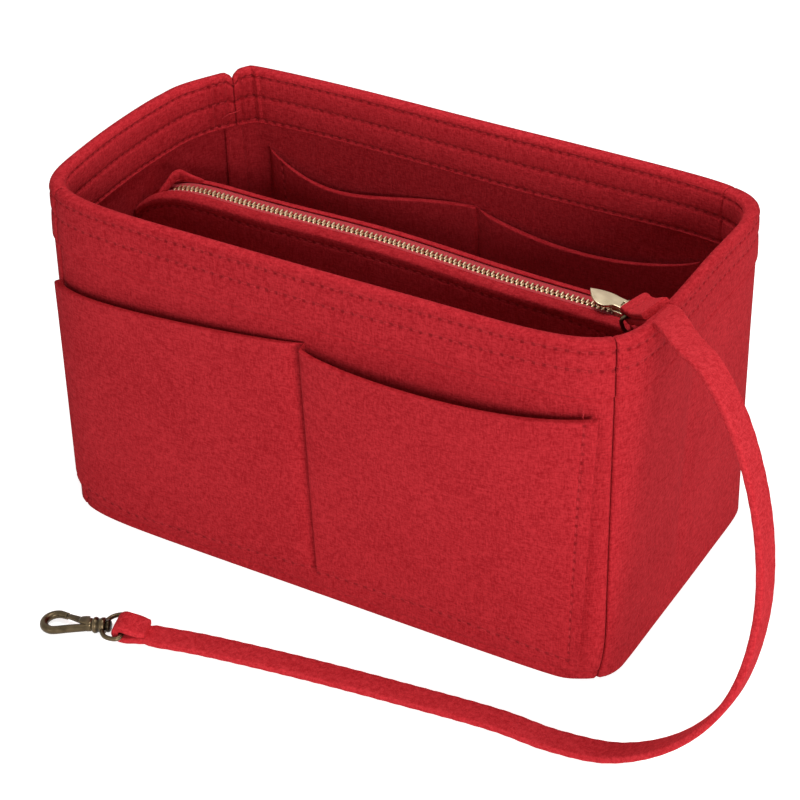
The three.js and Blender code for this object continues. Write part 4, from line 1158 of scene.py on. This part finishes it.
# %% Zip end ear
EAR_LINE = [
    (-124.0, -7.0, 124.6), (-122.4, -4.4, 127.6), (-121.0, -0.6, 130.6), (-119.9, 2.6, 133.2),
    (-118.5, 4.6, 133.8), (-115.6, 5.6, 132.6), (-111.5, 5.9, 132.2), (-107.0, 6.0, 132.4),
]
EAR_HALF_THICK, EAR_HALF_TALL = 1.2, 2.1
ear_line = smooth_route(EAR_LINE, per_span=5)
ear_along = unit(np.gradient(ear_line, axis=0))
ear_side = unit(np.cross(ear_along, [0, 0, 1.0]))
ear_up = np.cross(ear_side, ear_along)
ear_share = np.linspace(0, 1, len(ear_line))
ear_grow = 0.45 + 0.55 * np.sin(math.pi * ear_share) ** 0.6
ear_round, ear_high = soft_square(18, 0.7)
ear_wide, ear_tall = EAR_HALF_THICK * ear_round, EAR_HALF_TALL * ear_high
ear_rings = (
    ear_line[:, None]
    + ear_side[:, None] * ear_wide[None, :, None] * ear_grow[:, None, None]
    + ear_up[:, None] * ear_tall[None, :, None] * ear_grow[:, None, None]
)
make(
    "zip_end_tab_felt", in_pouch(loft(ear_rings)), red_felt, stands_for=["zip_end_tab"], sharp=70
)
print("ear stands", round(float(ear_line[:, 2].max()) + EAR_HALF_TALL - POUCH_TOP, 1), "mm above the pouch")

# %% [markdown]
# ## Metals
# The zip and its pull are pale gold with a satin polish. The hook and the
# rings are antiqued: a dark brown skin that is rubbed through to warm brass
# wherever a hand touches, on the convex edges. A shared group makes the fine
# scratches and the cloudy polish for both metals.

# %% Metal materials
polish_group, given, result = new_group(
    "handled_metal",
    {"Scratches Per Metre": ("NodeSocketFloat", 900.0), "Cloud Per Metre": ("NodeSocketFloat", 300.0)},
    {"Cloud": "NodeSocketFloat", "Height": "NodeSocketFloat"},
)
place_socket = add_node(polish_group, "ShaderNodeTexCoord").outputs["Object"]
drag = add_node(polish_group, "ShaderNodeMapping", {"Vector": place_socket}, Scale=(0.12, 1, 1))
scratch = add_node(
    polish_group, "ShaderNodeTexNoise",
    {"Vector": drag.outputs[0], "Scale": given["Scratches Per Metre"]}, Detail=4.0, Roughness=0.7,
)
cloud = add_node(
    polish_group, "ShaderNodeTexNoise",
    {"Vector": place_socket, "Scale": given["Cloud Per Metre"]}, Detail=3.0,
)
polish_group.links.new(cloud.outputs["Fac"], result["Cloud"])
polish_group.links.new(scratch.outputs["Fac"], result["Height"])


def metal_material(name, dark, light, rough, scratches, worn):
    material, tree, shader = new_material(name, metallic=1.0)
    polish = add_group(tree, polish_group, {"Scratches Per Metre": scratches})
    share = polish["Cloud"]
    if worn:
        edge = add_node(tree, "ShaderNodeNewGeometry").outputs["Pointiness"]
        rubbed = maths(tree, "MULTIPLY_ADD", share, 0.9, span(tree, edge, 0.485, 0.56))
        share = maths(tree, "SUBTRACT", rubbed, 0.42)
        share.node.use_clamp = True
    tint = mix_colours(tree, share, (*dark, 1), (*light, 1))
    tree.links.new(tint, shader.inputs["Base Color"])
    tree.links.new(span(tree, polish["Cloud"], 0.3, 0.7, *rough), shader.inputs["Roughness"])
    bump(tree, shader, polish["Height"], 0.12, 0.0002)
    return material


pale_gold = metal_material("pale_gold", (0.46, 0.36, 0.23), (0.62, 0.51, 0.35), (0.26, 0.4), 1400.0, False)
tooth_gold = metal_material("tooth_gold", (0.62, 0.42, 0.26), (0.86, 0.68, 0.46), (0.24, 0.38), 2200.0, False)
bronze = metal_material(
    "antique_bronze", (0.022, 0.016, 0.010), (0.115, 0.083, 0.046), (0.26, 0.44), 1500.0, True
)
print("metals:", pale_gold.name, tooth_gold.name, bronze.name)

# %% [markdown]
# ## Zip teeth
# Each tooth is a small cast hook with a narrow nose that reaches between two
# teeth of the other row. The same rings are lofted at every place along the
# tape. An array modifier on a curve could do it too, but this keeps both rows
# in step while they follow the bow and the fall of the pouch.

# %% Zip teeth
TOOTH_PITCH, ZIP_LEFT, ZIP_RIGHT = 2.3, -118.2, 105.0
CHAIN_MIDDLE = POUCH_TOP - TAPE_THICK / 2
TOOTH_ACROSS = np.array([2.35, 2.2, 1.9, 1.4, 0.9, 0.3, -0.1, -0.42, -0.5])
TOOTH_HALF_WIDE = np.array([0.36, 0.52, 0.58, 0.57, 0.52, 0.44, 0.40, 0.34, 0.2])
TOOTH_HALF_TALL = np.array([0.5, 0.8, 0.92, 0.95, 0.92, 0.82, 0.76, 0.62, 0.4])


def tooth(x, side):
    wide, tall = soft_square(8, 0.7, math.pi / 8)
    rings = np.zeros((len(TOOTH_ACROSS), len(wide), 3))
    rings[..., 0] = x + TOOTH_HALF_WIDE[:, None] * wide
    rings[..., 1] = side * TOOTH_ACROSS[:, None] + zip_bow(x)
    rings[..., 2] = CHAIN_MIDDLE - pouch_fall(x)[0] + TOOTH_HALF_TALL[:, None] * tall
    return loft(rings)


for place, side in SIDES.items():
    stagger = TOOTH_PITCH / 2 if side > 0 else 0
    places = np.arange(ZIP_LEFT + 1.0 + stagger, ZIP_RIGHT - 0.7, TOOTH_PITCH)
    teeth = gathered([tooth(x, side) for x in places])
    make(
        f"zip_teeth_{place}_row", in_pouch(teeth), tooth_gold, stands_for=[f"zip_teeth_{place}"]
    )
print(len(places), "teeth in the back row")

# %% [markdown]
# ## Bent wire and pressed plate
# Two kinds of curve make most of the hardware. A 3D curve with a bevel depth
# is a bent wire, and its points carry their own radius, so a bar can swell.
# A 2D curve with an extrusion and a bevel is a pressed plate with eased
# edges, holes included. Both are turned into meshes, so that they can ride on
# a body and be placed by a matrix.

# %% Wire and plate helpers
def curve_mesh(name, data, matrix):
    """Mesh of a curve in millimetres, moved by a matrix, as points and faces."""
    holder = bpy.data.objects.new(name, data)
    bpy.context.scene.collection.objects.link(holder)
    graph = bpy.context.evaluated_depsgraph_get()
    mesh = bpy.data.meshes.new_from_object(holder.evaluated_get(graph))
    points = np.array([matrix @ v.co for v in mesh.vertices])
    faces = [list(p.vertices) for p in mesh.polygons]
    bpy.data.objects.remove(holder)
    bpy.data.curves.remove(data)
    bpy.data.meshes.remove(mesh)
    return points, faces


def wire(points, radius, matrix=Matrix.Identity(4), cyclic=True, radii=None, sides=5):
    data = bpy.data.curves.new("wire", "CURVE")
    data.dimensions = "3D"
    data.bevel_depth = radius
    data.bevel_resolution = sides
    data.use_fill_caps = not cyclic
    spline = data.splines.new("POLY")
    spline.points.add(len(points) - 1)
    for i, point in enumerate(points):
        spline.points[i].co = (*point, 1)
        spline.points[i].radius = 1.0 if radii is None else radii[i]
    spline.use_cyclic_u = cyclic
    return curve_mesh("wire", data, matrix)


def pressed_plate(outlines, thick, ease_edge, matrix):
    data = bpy.data.curves.new("plate", "CURVE")
    data.dimensions = "2D"
    data.fill_mode = "BOTH"
    data.extrude = thick / 2 - ease_edge
    data.bevel_depth = ease_edge
    data.bevel_resolution = 3
    data.offset = -ease_edge
    for outline in outlines:
        spline = data.splines.new("POLY")
        spline.points.add(len(outline) - 1)
        for point, (x, y) in zip(spline.points, outline):
            point.co = (x, y, 0, 1)
        spline.use_cyclic_u = True
    return welded(*curve_mesh("plate", data, matrix))


def welded(points, faces):
    """Joins points that lie on each other, and drops faces that collapse."""
    _, keep, index = np.unique(np.round(points, 4), axis=0, return_index=True, return_inverse=True)
    index = index.reshape(-1)
    joined = [list(dict.fromkeys(index[i] for i in face)) for face in faces]
    return points[keep], [[int(i) for i in face] for face in joined if len(face) > 2]


def arc(start, first, second, finish, count=14):
    """Points of a curve from start to finish that leans towards two others."""
    t = np.linspace(0, 1, count, endpoint=False)[:, None]
    a, b, c, d = (np.asarray(p, float) for p in (start, first, second, finish))
    return ((1 - t) ** 3 * a + 3 * (1 - t) ** 2 * t * b + 3 * (1 - t) * t**2 * c + t**3 * d).tolist()


print("wire and plate helpers ready")

# %% [markdown]
# ## The slider
# The slider has an upper and a lower plate joined by a post at its nose, with
# lips that grip the tape. A bail on top, a bent wire, holds the pull. Plates
# and lips are pressed plates, drawn from one outline with eased edges.

# %% Slider
SLIDER_LONG, SLIDER_HALF = 9.5, 4.3
SLIDER_X = POUCH_RIGHT - 8.9 - SLIDER_LONG / 2
PLATE_FOOT = CHAIN_MIDDLE + 1.2 + FIT
PLATE_TOP = PLATE_FOOT + 1.2
HINGE = Vector((SLIDER_X + 1.55, 0, PLATE_TOP + 1.2))


def shield_outline():
    half = SLIDER_LONG / 2
    upper = arc((-half, 0), (-half, 2.4), (-half + 0.8, 3.5), (-half + 2.4, 3.7))
    upper += arc((-half + 2.4, 3.7), (0, 3.8), (0.8, SLIDER_HALF), (half - 1.8, SLIDER_HALF))
    upper += arc((half - 1.8, SLIDER_HALF), (half - 0.4, SLIDER_HALF), (half, 3.2), (half, 1.6))
    upper += arc((half, 1.6), (half - 0.5, 0.9), (half - 0.9, 0.4), (half - 1.0, 0))
    return upper + [(x, -y) for x, y in reversed(upper[1:])]


slider_parts = []
for middle in ((PLATE_FOOT + PLATE_TOP) / 2, CHAIN_MIDDLE - 1.2 - FIT - 0.6):
    shift = POUCH_PLACE @ Matrix.Translation((SLIDER_X, 0, middle))
    slider_parts.append(pressed_plate([shield_outline()], 1.2, 0.3, shift))
for side in (-1, 1):
    lip = [(-3.2, 3.35), (3.4, 3.45), (3.4, 4.1), (-2.2, 3.7)]
    upper, lower = (POUCH_TOP + FIT, PLATE_FOOT + 0.3), (CHAIN_MIDDLE - 1.8, POUCH_TOP - TAPE_THICK - FIT)
    for low, high in (upper, lower):
        shift = POUCH_PLACE @ Matrix.Translation((SLIDER_X, 0, (low + high) / 2))
        slider_parts.append(pressed_plate([[(x, side * y) for x, y in lip]], high - low, 0.1, shift))
bail_line = [(0, -2.6, -0.5), (0, -2.6, 1.6)] + [
    (0, -2.6 * math.cos(a), 1.6 + 1.4 * math.sin(a)) for a in np.linspace(0.15, math.pi - 0.15, 11)
] + [(0, 2.6, 1.6), (0, 2.6, -0.5)]
bail_place = POUCH_PLACE @ Matrix.Translation((HINGE.x, 0, PLATE_TOP))
slider_parts.append(wire(bail_line, 0.6, bail_place, cyclic=False, sides=3))
make(
    "zip_slider_cast", gathered(slider_parts), pale_gold, body="slider",
    stands_for=["zip_slider"], sharp=40,
)
print("slider at x", round(SLIDER_X, 2))

# %% [markdown]
# ## The leaf pull
# The pull is stamped from sheet: a pointed leaf with a neck, and a slot for the
# bail. It could be carved from a cube, but an outline of a few curves, pressed
# like the slider's plates, keeps its edge even. It rides on its own body, so
# that it can be lifted.

# %% Pull
PULL_LONG, PULL_NECK, PULL_PIN = 17.0, 3.2, 0.8
EYE_END = -PULL_PIN - 4.0
pin, neck = PULL_PIN, PULL_NECK
leaf = arc((pin, -neck + 0.85), (pin, -neck), (pin, -neck), (0, -neck), 5)
leaf += arc((0, -neck), (-2, -neck), (-3, -neck), (EYE_END, -neck), 4)
leaf += arc((EYE_END, -neck), (-7.8, -8.51), (-12.24, -7.4), (-PULL_LONG, 0.567), 22)
leaf += arc((-PULL_LONG, 0.567), (-12.24, 3.23), (-7.8, 3.74), (EYE_END, neck), 22)
leaf += arc((EYE_END, neck), (-3, neck), (-2, neck), (0, neck), 4)
leaf += arc((0, neck), (pin, neck), (pin, neck), (pin, neck - 0.85), 5)
slot = [(-PULL_PIN, -1.5), (-2.1, -1.5), (-2.1, 1.5), (-PULL_PIN, 1.5)]
pull_place = POUCH_PLACE @ Matrix.Translation(HINGE) @ Matrix.Rotation(math.radians(10), 4, "Y")
pull_leaf = pressed_plate([leaf, slot], 1.2, 0.32, pull_place)
make("pull_tab_leaf", pull_leaf, pale_gold, body="pull", stands_for=["pull_tab"], sharp=40)
print("pull is", PULL_LONG, "mm long")

# %% [markdown]
# ## The strap ring and its tab
# A ring of round wire hangs in the fold of the strap, with a straight bar at
# the top. A felt tab goes round its foot, and both legs are sewn to the end
# of the pouch.

# %% Strap ring and tab
def d_outline(half, depth, power, count=40):
    """Closed ring with a straight bar, as position along the bar and depth."""
    corner = min(2.2, half / 3)
    points = [(x, 0.0) for x in np.linspace(-half + corner, half - corner, 8)]
    turn_in = [(corner * (1 - math.sin(a)), corner * (1 - math.cos(a))) for a in np.radians((25, 50, 75))]
    points += [(half - x, d) for x, d in turn_in]
    for angle in np.linspace(0, math.pi, count):
        x = half * np.sign(math.cos(angle)) * abs(math.cos(angle)) ** (2 / power)
        points.append((x, corner + (depth - corner) * abs(math.sin(angle)) ** (2 / power)))
    points += [(-half + x, d) for x, d in reversed(turn_in)]
    return np.array(points)


fold_place, _, bar_along, fold_normal = (v[0] for v in strap_frame(np.array([0.0])))
bar_place = fold_place + fold_normal * LAYER / 2
RING_HALF, RING_DEEP, RING_WIRE = 8.0, 14.5, 0.85
RING_LEAN = np.array([-0.25, 0.19, -0.94])
ring_down = unit(RING_LEAN - bar_along * (RING_LEAN @ bar_along))
ring_line = [bar_place + bar_along * x + ring_down * d for x, d in d_outline(RING_HALF, RING_DEEP, 3)]
make("strap_ring_wire", wire(ring_line, RING_WIRE), bronze, stands_for=["strap_ring"])

TAB_WIDE, TAB_THICK, TAB_LEGS = 8.0, 2.0, 14.0
tab_foot = bar_place + ring_down * RING_DEEP
tab_down = unit(np.array([0, 0, -1.0]) + bar_along * bar_along[2])
tab_side = np.cross(bar_along, tab_down)
tab_turn, tab_near = WIRE + FIT + 0.4 + TAB_THICK / 2, (TAB_THICK + FIT) / 2
tab_half = [(tab_near, d) for d in np.linspace(TAB_LEGS, LOOP_EASE * 0.7, 6)]
tab_half += [(tab_near + (tab_turn - tab_near) * ease(k), 5.6 - 5.0 * k) for k in (0.25, 0.5, 0.75, 1.0)]
tab_line = tab_half + [(tab_turn * math.cos(a), -tab_turn * math.sin(a)) for a in np.linspace(0, math.pi, 17)]
tab_line = np.array(tab_line + [(-a, d) for a, d in reversed(tab_half)])
tab_step = unit(np.gradient(tab_line, axis=0))
tab_section = band_section(TAB_WIDE / 2, TAB_THICK / 2, 0.7)
tab_rings = (
    tab_foot
    + tab_side * (tab_line[:, :1] - tab_step[:, 1:] * tab_section[:, 0])[..., None]
    + tab_down * (tab_line[:, 1:] + tab_step[:, :1] * tab_section[:, 0])[..., None]
    + bar_along * np.broadcast_to(tab_section[:, 1], (len(tab_line), len(tab_section)))[..., None]
)
make("ring_tab_felt", loft(tab_rings), red_felt, stands_for=["ring_tab"])
print("ring bar at", np.round(bar_place, 1))

# %% [markdown]
# ## The swivel hook
# The hook is cast: a wire eye sits in the strap's fold, a collar carries the
# shank, and the hook body swells into a block that holds the gate on a pin.
# Its own axes are the direction of the strap's end, so every part is drawn
# flat first and then placed by one matrix.

# %% Swivel eye and collar
HOOK_AIM = unit(np.array([-0.952, -0.296, -0.068]))
end_place, _, _, end_normal = (v[0] for v in strap_frame(np.array([STRAP_LONG])))
hook_origin = end_place - end_normal * LAYER / 2
hook_up = unit(np.array([0, 0, 1.0]) - HOOK_AIM * HOOK_AIM[2])
hook_side = np.cross(hook_up, HOOK_AIM)
hook_axes = np.stack([HOOK_AIM, hook_side, hook_up], 1)
HOOK_PLACE = Matrix([(*row, shift) for row, shift in zip(hook_axes, hook_origin)] + [(0, 0, 0, 1)])


def turned(profile, count=40):
    """Closed ring of metal turned about the hook's long axis."""
    profile = np.asarray(profile, float)
    rings = []
    for angle in np.linspace(0, 2 * math.pi, count, endpoint=False):
        ring = np.stack([profile[:, 0], profile[:, 1] * math.cos(angle), profile[:, 1] * math.sin(angle)], -1)
        rings.append([HOOK_PLACE @ Vector(p) for p in ring])
    return loft(np.array(rings), closed=True)


COLLAR_PROFILE = [
    (8.3, 1.95), (13.7, 1.95), (13.8, 2.2), (13.8, 2.9), (13.5, 3.3), (12.9, 3.5), (12.2, 3.35), (11.7, 2.95),
    (11.1, 2.9), (10.6, 3.2), (10.1, 3.45), (9.4, 3.5), (8.7, 3.35), (8.3, 2.9), (8.2, 2.3),
]
eye_line = [(x, y, 0) for y, x in d_outline(8.0, 9.3, 2.4)]
swivel_parts = [wire(eye_line, WIRE, HOOK_PLACE), turned(COLLAR_PROFILE)]
make(
    "swivel_eye_cast", gathered(swivel_parts), bronze, body="swivel",
    stands_for=["swivel_eye"], sharp=60,
)
print("hook starts at", np.round(hook_origin, 1))

# %% [markdown]
# ## The hook's body
# A swelling bar bends round the end of the hook, and it grows out of a block
# with two cheeks for the gate. The bar is a bent wire with its own radius at
# each point, and block and cheeks are lofts of soft squares. The shank is
# turned like a chess piece, and its head is caught inside the collar.

# %% Hook body
HOOK_END, HOOK_ROUND, ARM_TIP, NECK_AT, NECK_HALF, HOOK_BAR = 30.4, 5.2, 26.6, 15.2, 1.6, 1.65


def hook_half(x):
    return NECK_HALF + (HOOK_ROUND - NECK_HALF) / (HOOK_END - NECK_AT) * (x - NECK_AT)


hook_knots = [(x, hook_half(x), 0) for x in (NECK_AT, 17.5, 20.0, 24.5)]
for angle in np.radians(np.linspace(90, -90, 9)):
    hook_knots.append((HOOK_END + HOOK_ROUND * math.cos(angle), HOOK_ROUND * math.sin(angle), 0))
hook_knots += [(ARM_TIP, -hook_half(ARM_TIP), 0)]
hook_line = smooth_route(hook_knots, per_span=8)
hook_share = np.linspace(0, 1, len(hook_line))
hook_radii = 1.0 + 0.1 * np.sin(math.pi * hook_share) - 0.1 * ease((hook_share - 0.9) / 0.1)
hook_parts = [wire(hook_line, HOOK_BAR, HOOK_PLACE, cyclic=False, radii=hook_radii, sides=6)]


def block_ring(x, half_y, half_z, count, power, shift=(0.0, 0.0)):
    """Ring with soft corners across the hook, moved sideways and up."""
    wide, tall = soft_square(count, power)
    across, up = shift[0] + half_y * wide, shift[1] + half_z * tall
    return [HOOK_PLACE @ Vector((x, y, z)) for y, z in zip(across, up)]


BLOCK = [(14.1, 2.2, 2.0), (14.4, 2.5, 2.3), (15.2, 2.8, 2.35), (16.2, 2.95, 2.35)]
CHEEK = [(16.0, 2.5, 0.55), (17.8, 2.45, 0.58), (19.2, 2.1, 0.55), (19.9, 1.5, 0.45), (20.1, 0.8, 0.3)]
CHEEK_SIDE, CHEEK_LIFT = -0.75, 1.72
hook_parts.append(loft(np.array([block_ring(*size, 28, 0.65) for size in BLOCK])))
for lift in (-CHEEK_LIFT, CHEEK_LIFT):
    hook_parts.append(loft(np.array([block_ring(*size, 20, 0.7, (CHEEK_SIDE, lift)) for size in CHEEK])))
SHANK_PROFILE = [
    (6.1, 0.05), (6.15, 1.8), (6.4, 2.4), (7.0, 2.7), (7.6, 2.65), (7.9, 2.3), (7.9, 1.6), (14.5, 1.6),
    (14.5, 0.05),
]
hook_parts.append(turned(SHANK_PROFILE))
make(
    "hook_body_cast", gathered(hook_parts), bronze, body="hook",
    stands_for=["hook_body"], sharp=60,
)
print("hook body of", len(hook_parts), "castings")

# %% [markdown]
# ## Gate and pin
# The gate is a flat lever that closes the hook's mouth. It turns on a pin
# through both cheeks, and it only opens inwards. It is a pressed plate with a
# hole for the pin, turned so that its end meets the tip of the hook.

# %% Gate and pin
GATE_X, GATE_Y, KNUCKLE, PIN_HOLE = 17.8, -1.6, 1.5, 0.9
tip_x, tip_y = ARM_TIP - FIT, -hook_half(ARM_TIP)
gate_aim = math.atan2(tip_y - GATE_Y, tip_x - GATE_X)
gate_long = math.hypot(tip_x - GATE_X, tip_y - GATE_Y) - FIT
back_turn = np.linspace(math.pi / 2, 1.5 * math.pi, 14)
hole_turn = np.linspace(0, -2 * math.pi, 16, endpoint=False)
gate_outline = [(KNUCKLE * math.cos(a), KNUCKLE * math.sin(a)) for a in back_turn]
gate_outline += arc((0, -KNUCKLE), (2, -1.5), (4, -1.25), (gate_long, -1.0), 10)
gate_outline += [(gate_long, -1.0), (gate_long, 1.0)]
gate_outline += arc((gate_long, 1.0), (4, 1.25), (2, 1.5), (0, KNUCKLE), 10)
gate_hole = [(PIN_HOLE * math.cos(a), PIN_HOLE * math.sin(a)) for a in hole_turn]
pin_place = HOOK_PLACE @ Matrix.Translation((GATE_X, GATE_Y, 0))
gate_plate = pressed_plate([gate_outline, gate_hole], 1.8, 0.4, pin_place @ Matrix.Rotation(gate_aim, 4, "Z"))
make(
    "gate_lever_cast", gate_plate, bronze, body="gate", stands_for=["gate_lever"], sharp=45
)
pin_line = [(0, 0, z) for z in np.linspace(-2.2, 2.2, 12)]
pin_radii = [0.55, 0.9] + [1.0] * 8 + [0.9, 0.55]
pin_rod = wire(pin_line, 0.6, pin_place, cyclic=False, radii=pin_radii)
make("gate_pin_rod", pin_rod, bronze, body="hook", stands_for=["gate_pin"])
print("gate is", round(gate_long, 1), "mm long")

# %% [markdown]
# ## Loose thread ends
# Two thread tails were left uncut, one in the rear left corner and one at the
# top of the outer pocket. They are thin wires with a gentle curl.

# %% Thread tails
def thread_tail(name, points):
    line = smooth_route(points, per_span=6)
    return make(name, wire(line, 0.22, cyclic=False, sides=2), stitch_thread)


TAILS = {
    "corner_thread_tail": (
        wall(REAR_LEFT, 143.0, HEM_THICK),
        ((1.5, 1.5, 0.6), (1.0, -1.6, 0.9), (-1.2, -4.2, 0.4), (-3.4, -6.0, -1.4)),
    ),
    "pocket_thread_tail": (
        wall(0.975, 131.4, -FIT - FELT),
        ((0, 1.0, -1.0), (0, 0.2, 0.6), (0.3, 0.3, 2.2), (0.1, 0.6, 3.4)),
    ),
}
for tail_name, (root, steps) in TAILS.items():
    thread_tail(tail_name, [root + np.array(step) for step in steps])
print(len(TAILS), "thread tails")

# %% [markdown]
# ## Floor and background
# The product stands on a white table in a white studio. The floor is a large
# pale plane that keeps the soft shadow. For the camera, and for reflections in
# the metal, table and studio are lifted to white, which would take far more
# light if it came from lamps, and would bleach the felt.

# %% Floor and background
FLOOR_GLOW, AMBIENT = 0.76, 0.3


def seen_white(tree):
    """One for rays from the camera and for reflections, and nothing for the rest."""
    rays = add_node(tree, "ShaderNodeLightPath").outputs
    return maths(tree, "MAXIMUM", rays["Is Camera Ray"], rays["Is Glossy Ray"])


floor_mesh = bpy.data.meshes.new("floor")
floor_mesh.from_pydata([(-6, -6, 0), (6, -6, 0), (6, 6, 0), (-6, 6, 0)], [], [(0, 1, 2, 3)])
floor = bpy.data.objects.new("floor", floor_mesh)
bpy.context.scene.collection.objects.link(floor)
floor_material = bpy.data.materials.new("white_table")
floor_material.use_nodes = True
tree = floor_material.node_tree
tree.nodes.clear()
matte = add_node(tree, "ShaderNodeBsdfDiffuse", Color=(0.82, 0.82, 0.82, 1))
glow = add_node(tree, "ShaderNodeEmission", Color=(1, 1, 1, 1))
tree.links.new(maths(tree, "MULTIPLY", seen_white(tree), FLOOR_GLOW), glow.inputs["Strength"])
together = add_node(tree, "ShaderNodeAddShader", {0: matte.outputs[0], 1: glow.outputs[0]})
add_node(tree, "ShaderNodeOutputMaterial", {"Surface": together.outputs[0]})
floor_mesh.materials.append(floor_material)

world = bpy.data.worlds.new("studio")
bpy.context.scene.world = world
world.use_nodes = True
tree = world.node_tree
tree.nodes.clear()
ambient = add_node(tree, "ShaderNodeBackground", Color=(1, 1, 1, 1), Strength=AMBIENT)
white = add_node(tree, "ShaderNodeBackground", Color=(1, 1, 1, 1), Strength=1.0)
chosen = add_node(
    tree, "ShaderNodeMixShader", {0: seen_white(tree), 1: ambient.outputs[0], 2: white.outputs[0]}
)
add_node(tree, "ShaderNodeOutputWorld", {"Surface": chosen.outputs[0]})
print("white table and studio")

# %% [markdown]
# ## Softboxes
# A large softbox in front, a little to the right, is the main light. It comes
# from further right than the camera, so the middle seam of the pockets keeps a
# dark line. A weak one fills the front from the left, a low one lights the
# right end, and a small one overhead lights the rim and the strap. The view
# transform is Standard, so that colours render as they are written.

# %% Softboxes
SOFTBOXES = {
    "front_softbox": (48, 14, 1.7, 0.65, 19),
    "left_softbox": (-14, 12, 1.7, 0.7, 4),
    "right_softbox": (98, 3, 1.7, 0.55, 5),
    "top_softbox": (180, 87, 0.55, 0.25, 1.8),
}
LIT_PLACE = Vector((0, 0, 0.08))


def softbox(name, azimuth, elevation, distance, size, power):
    """Square lamp that faces the organizer, with angles in degrees, metres and watts."""
    lamp = bpy.data.lights.new(name, "AREA")
    lamp.shape = "SQUARE"
    lamp.size = size
    lamp.energy = power
    box = bpy.data.objects.new(name, lamp)
    a, e = math.radians(azimuth), math.radians(elevation)
    towards = Vector((math.sin(a) * math.cos(e), -math.cos(a) * math.cos(e), math.sin(e)))
    facing = towards.to_track_quat("Z", "Y").to_matrix().to_4x4()
    box.matrix_world = Matrix.Translation(LIT_PLACE + towards * distance) @ facing
    bpy.context.scene.collection.objects.link(box)


for softbox_name, setting in SOFTBOXES.items():
    softbox(softbox_name, *setting)
bpy.context.scene.view_settings.view_transform = "Standard"
print(len(SOFTBOXES), "softboxes")
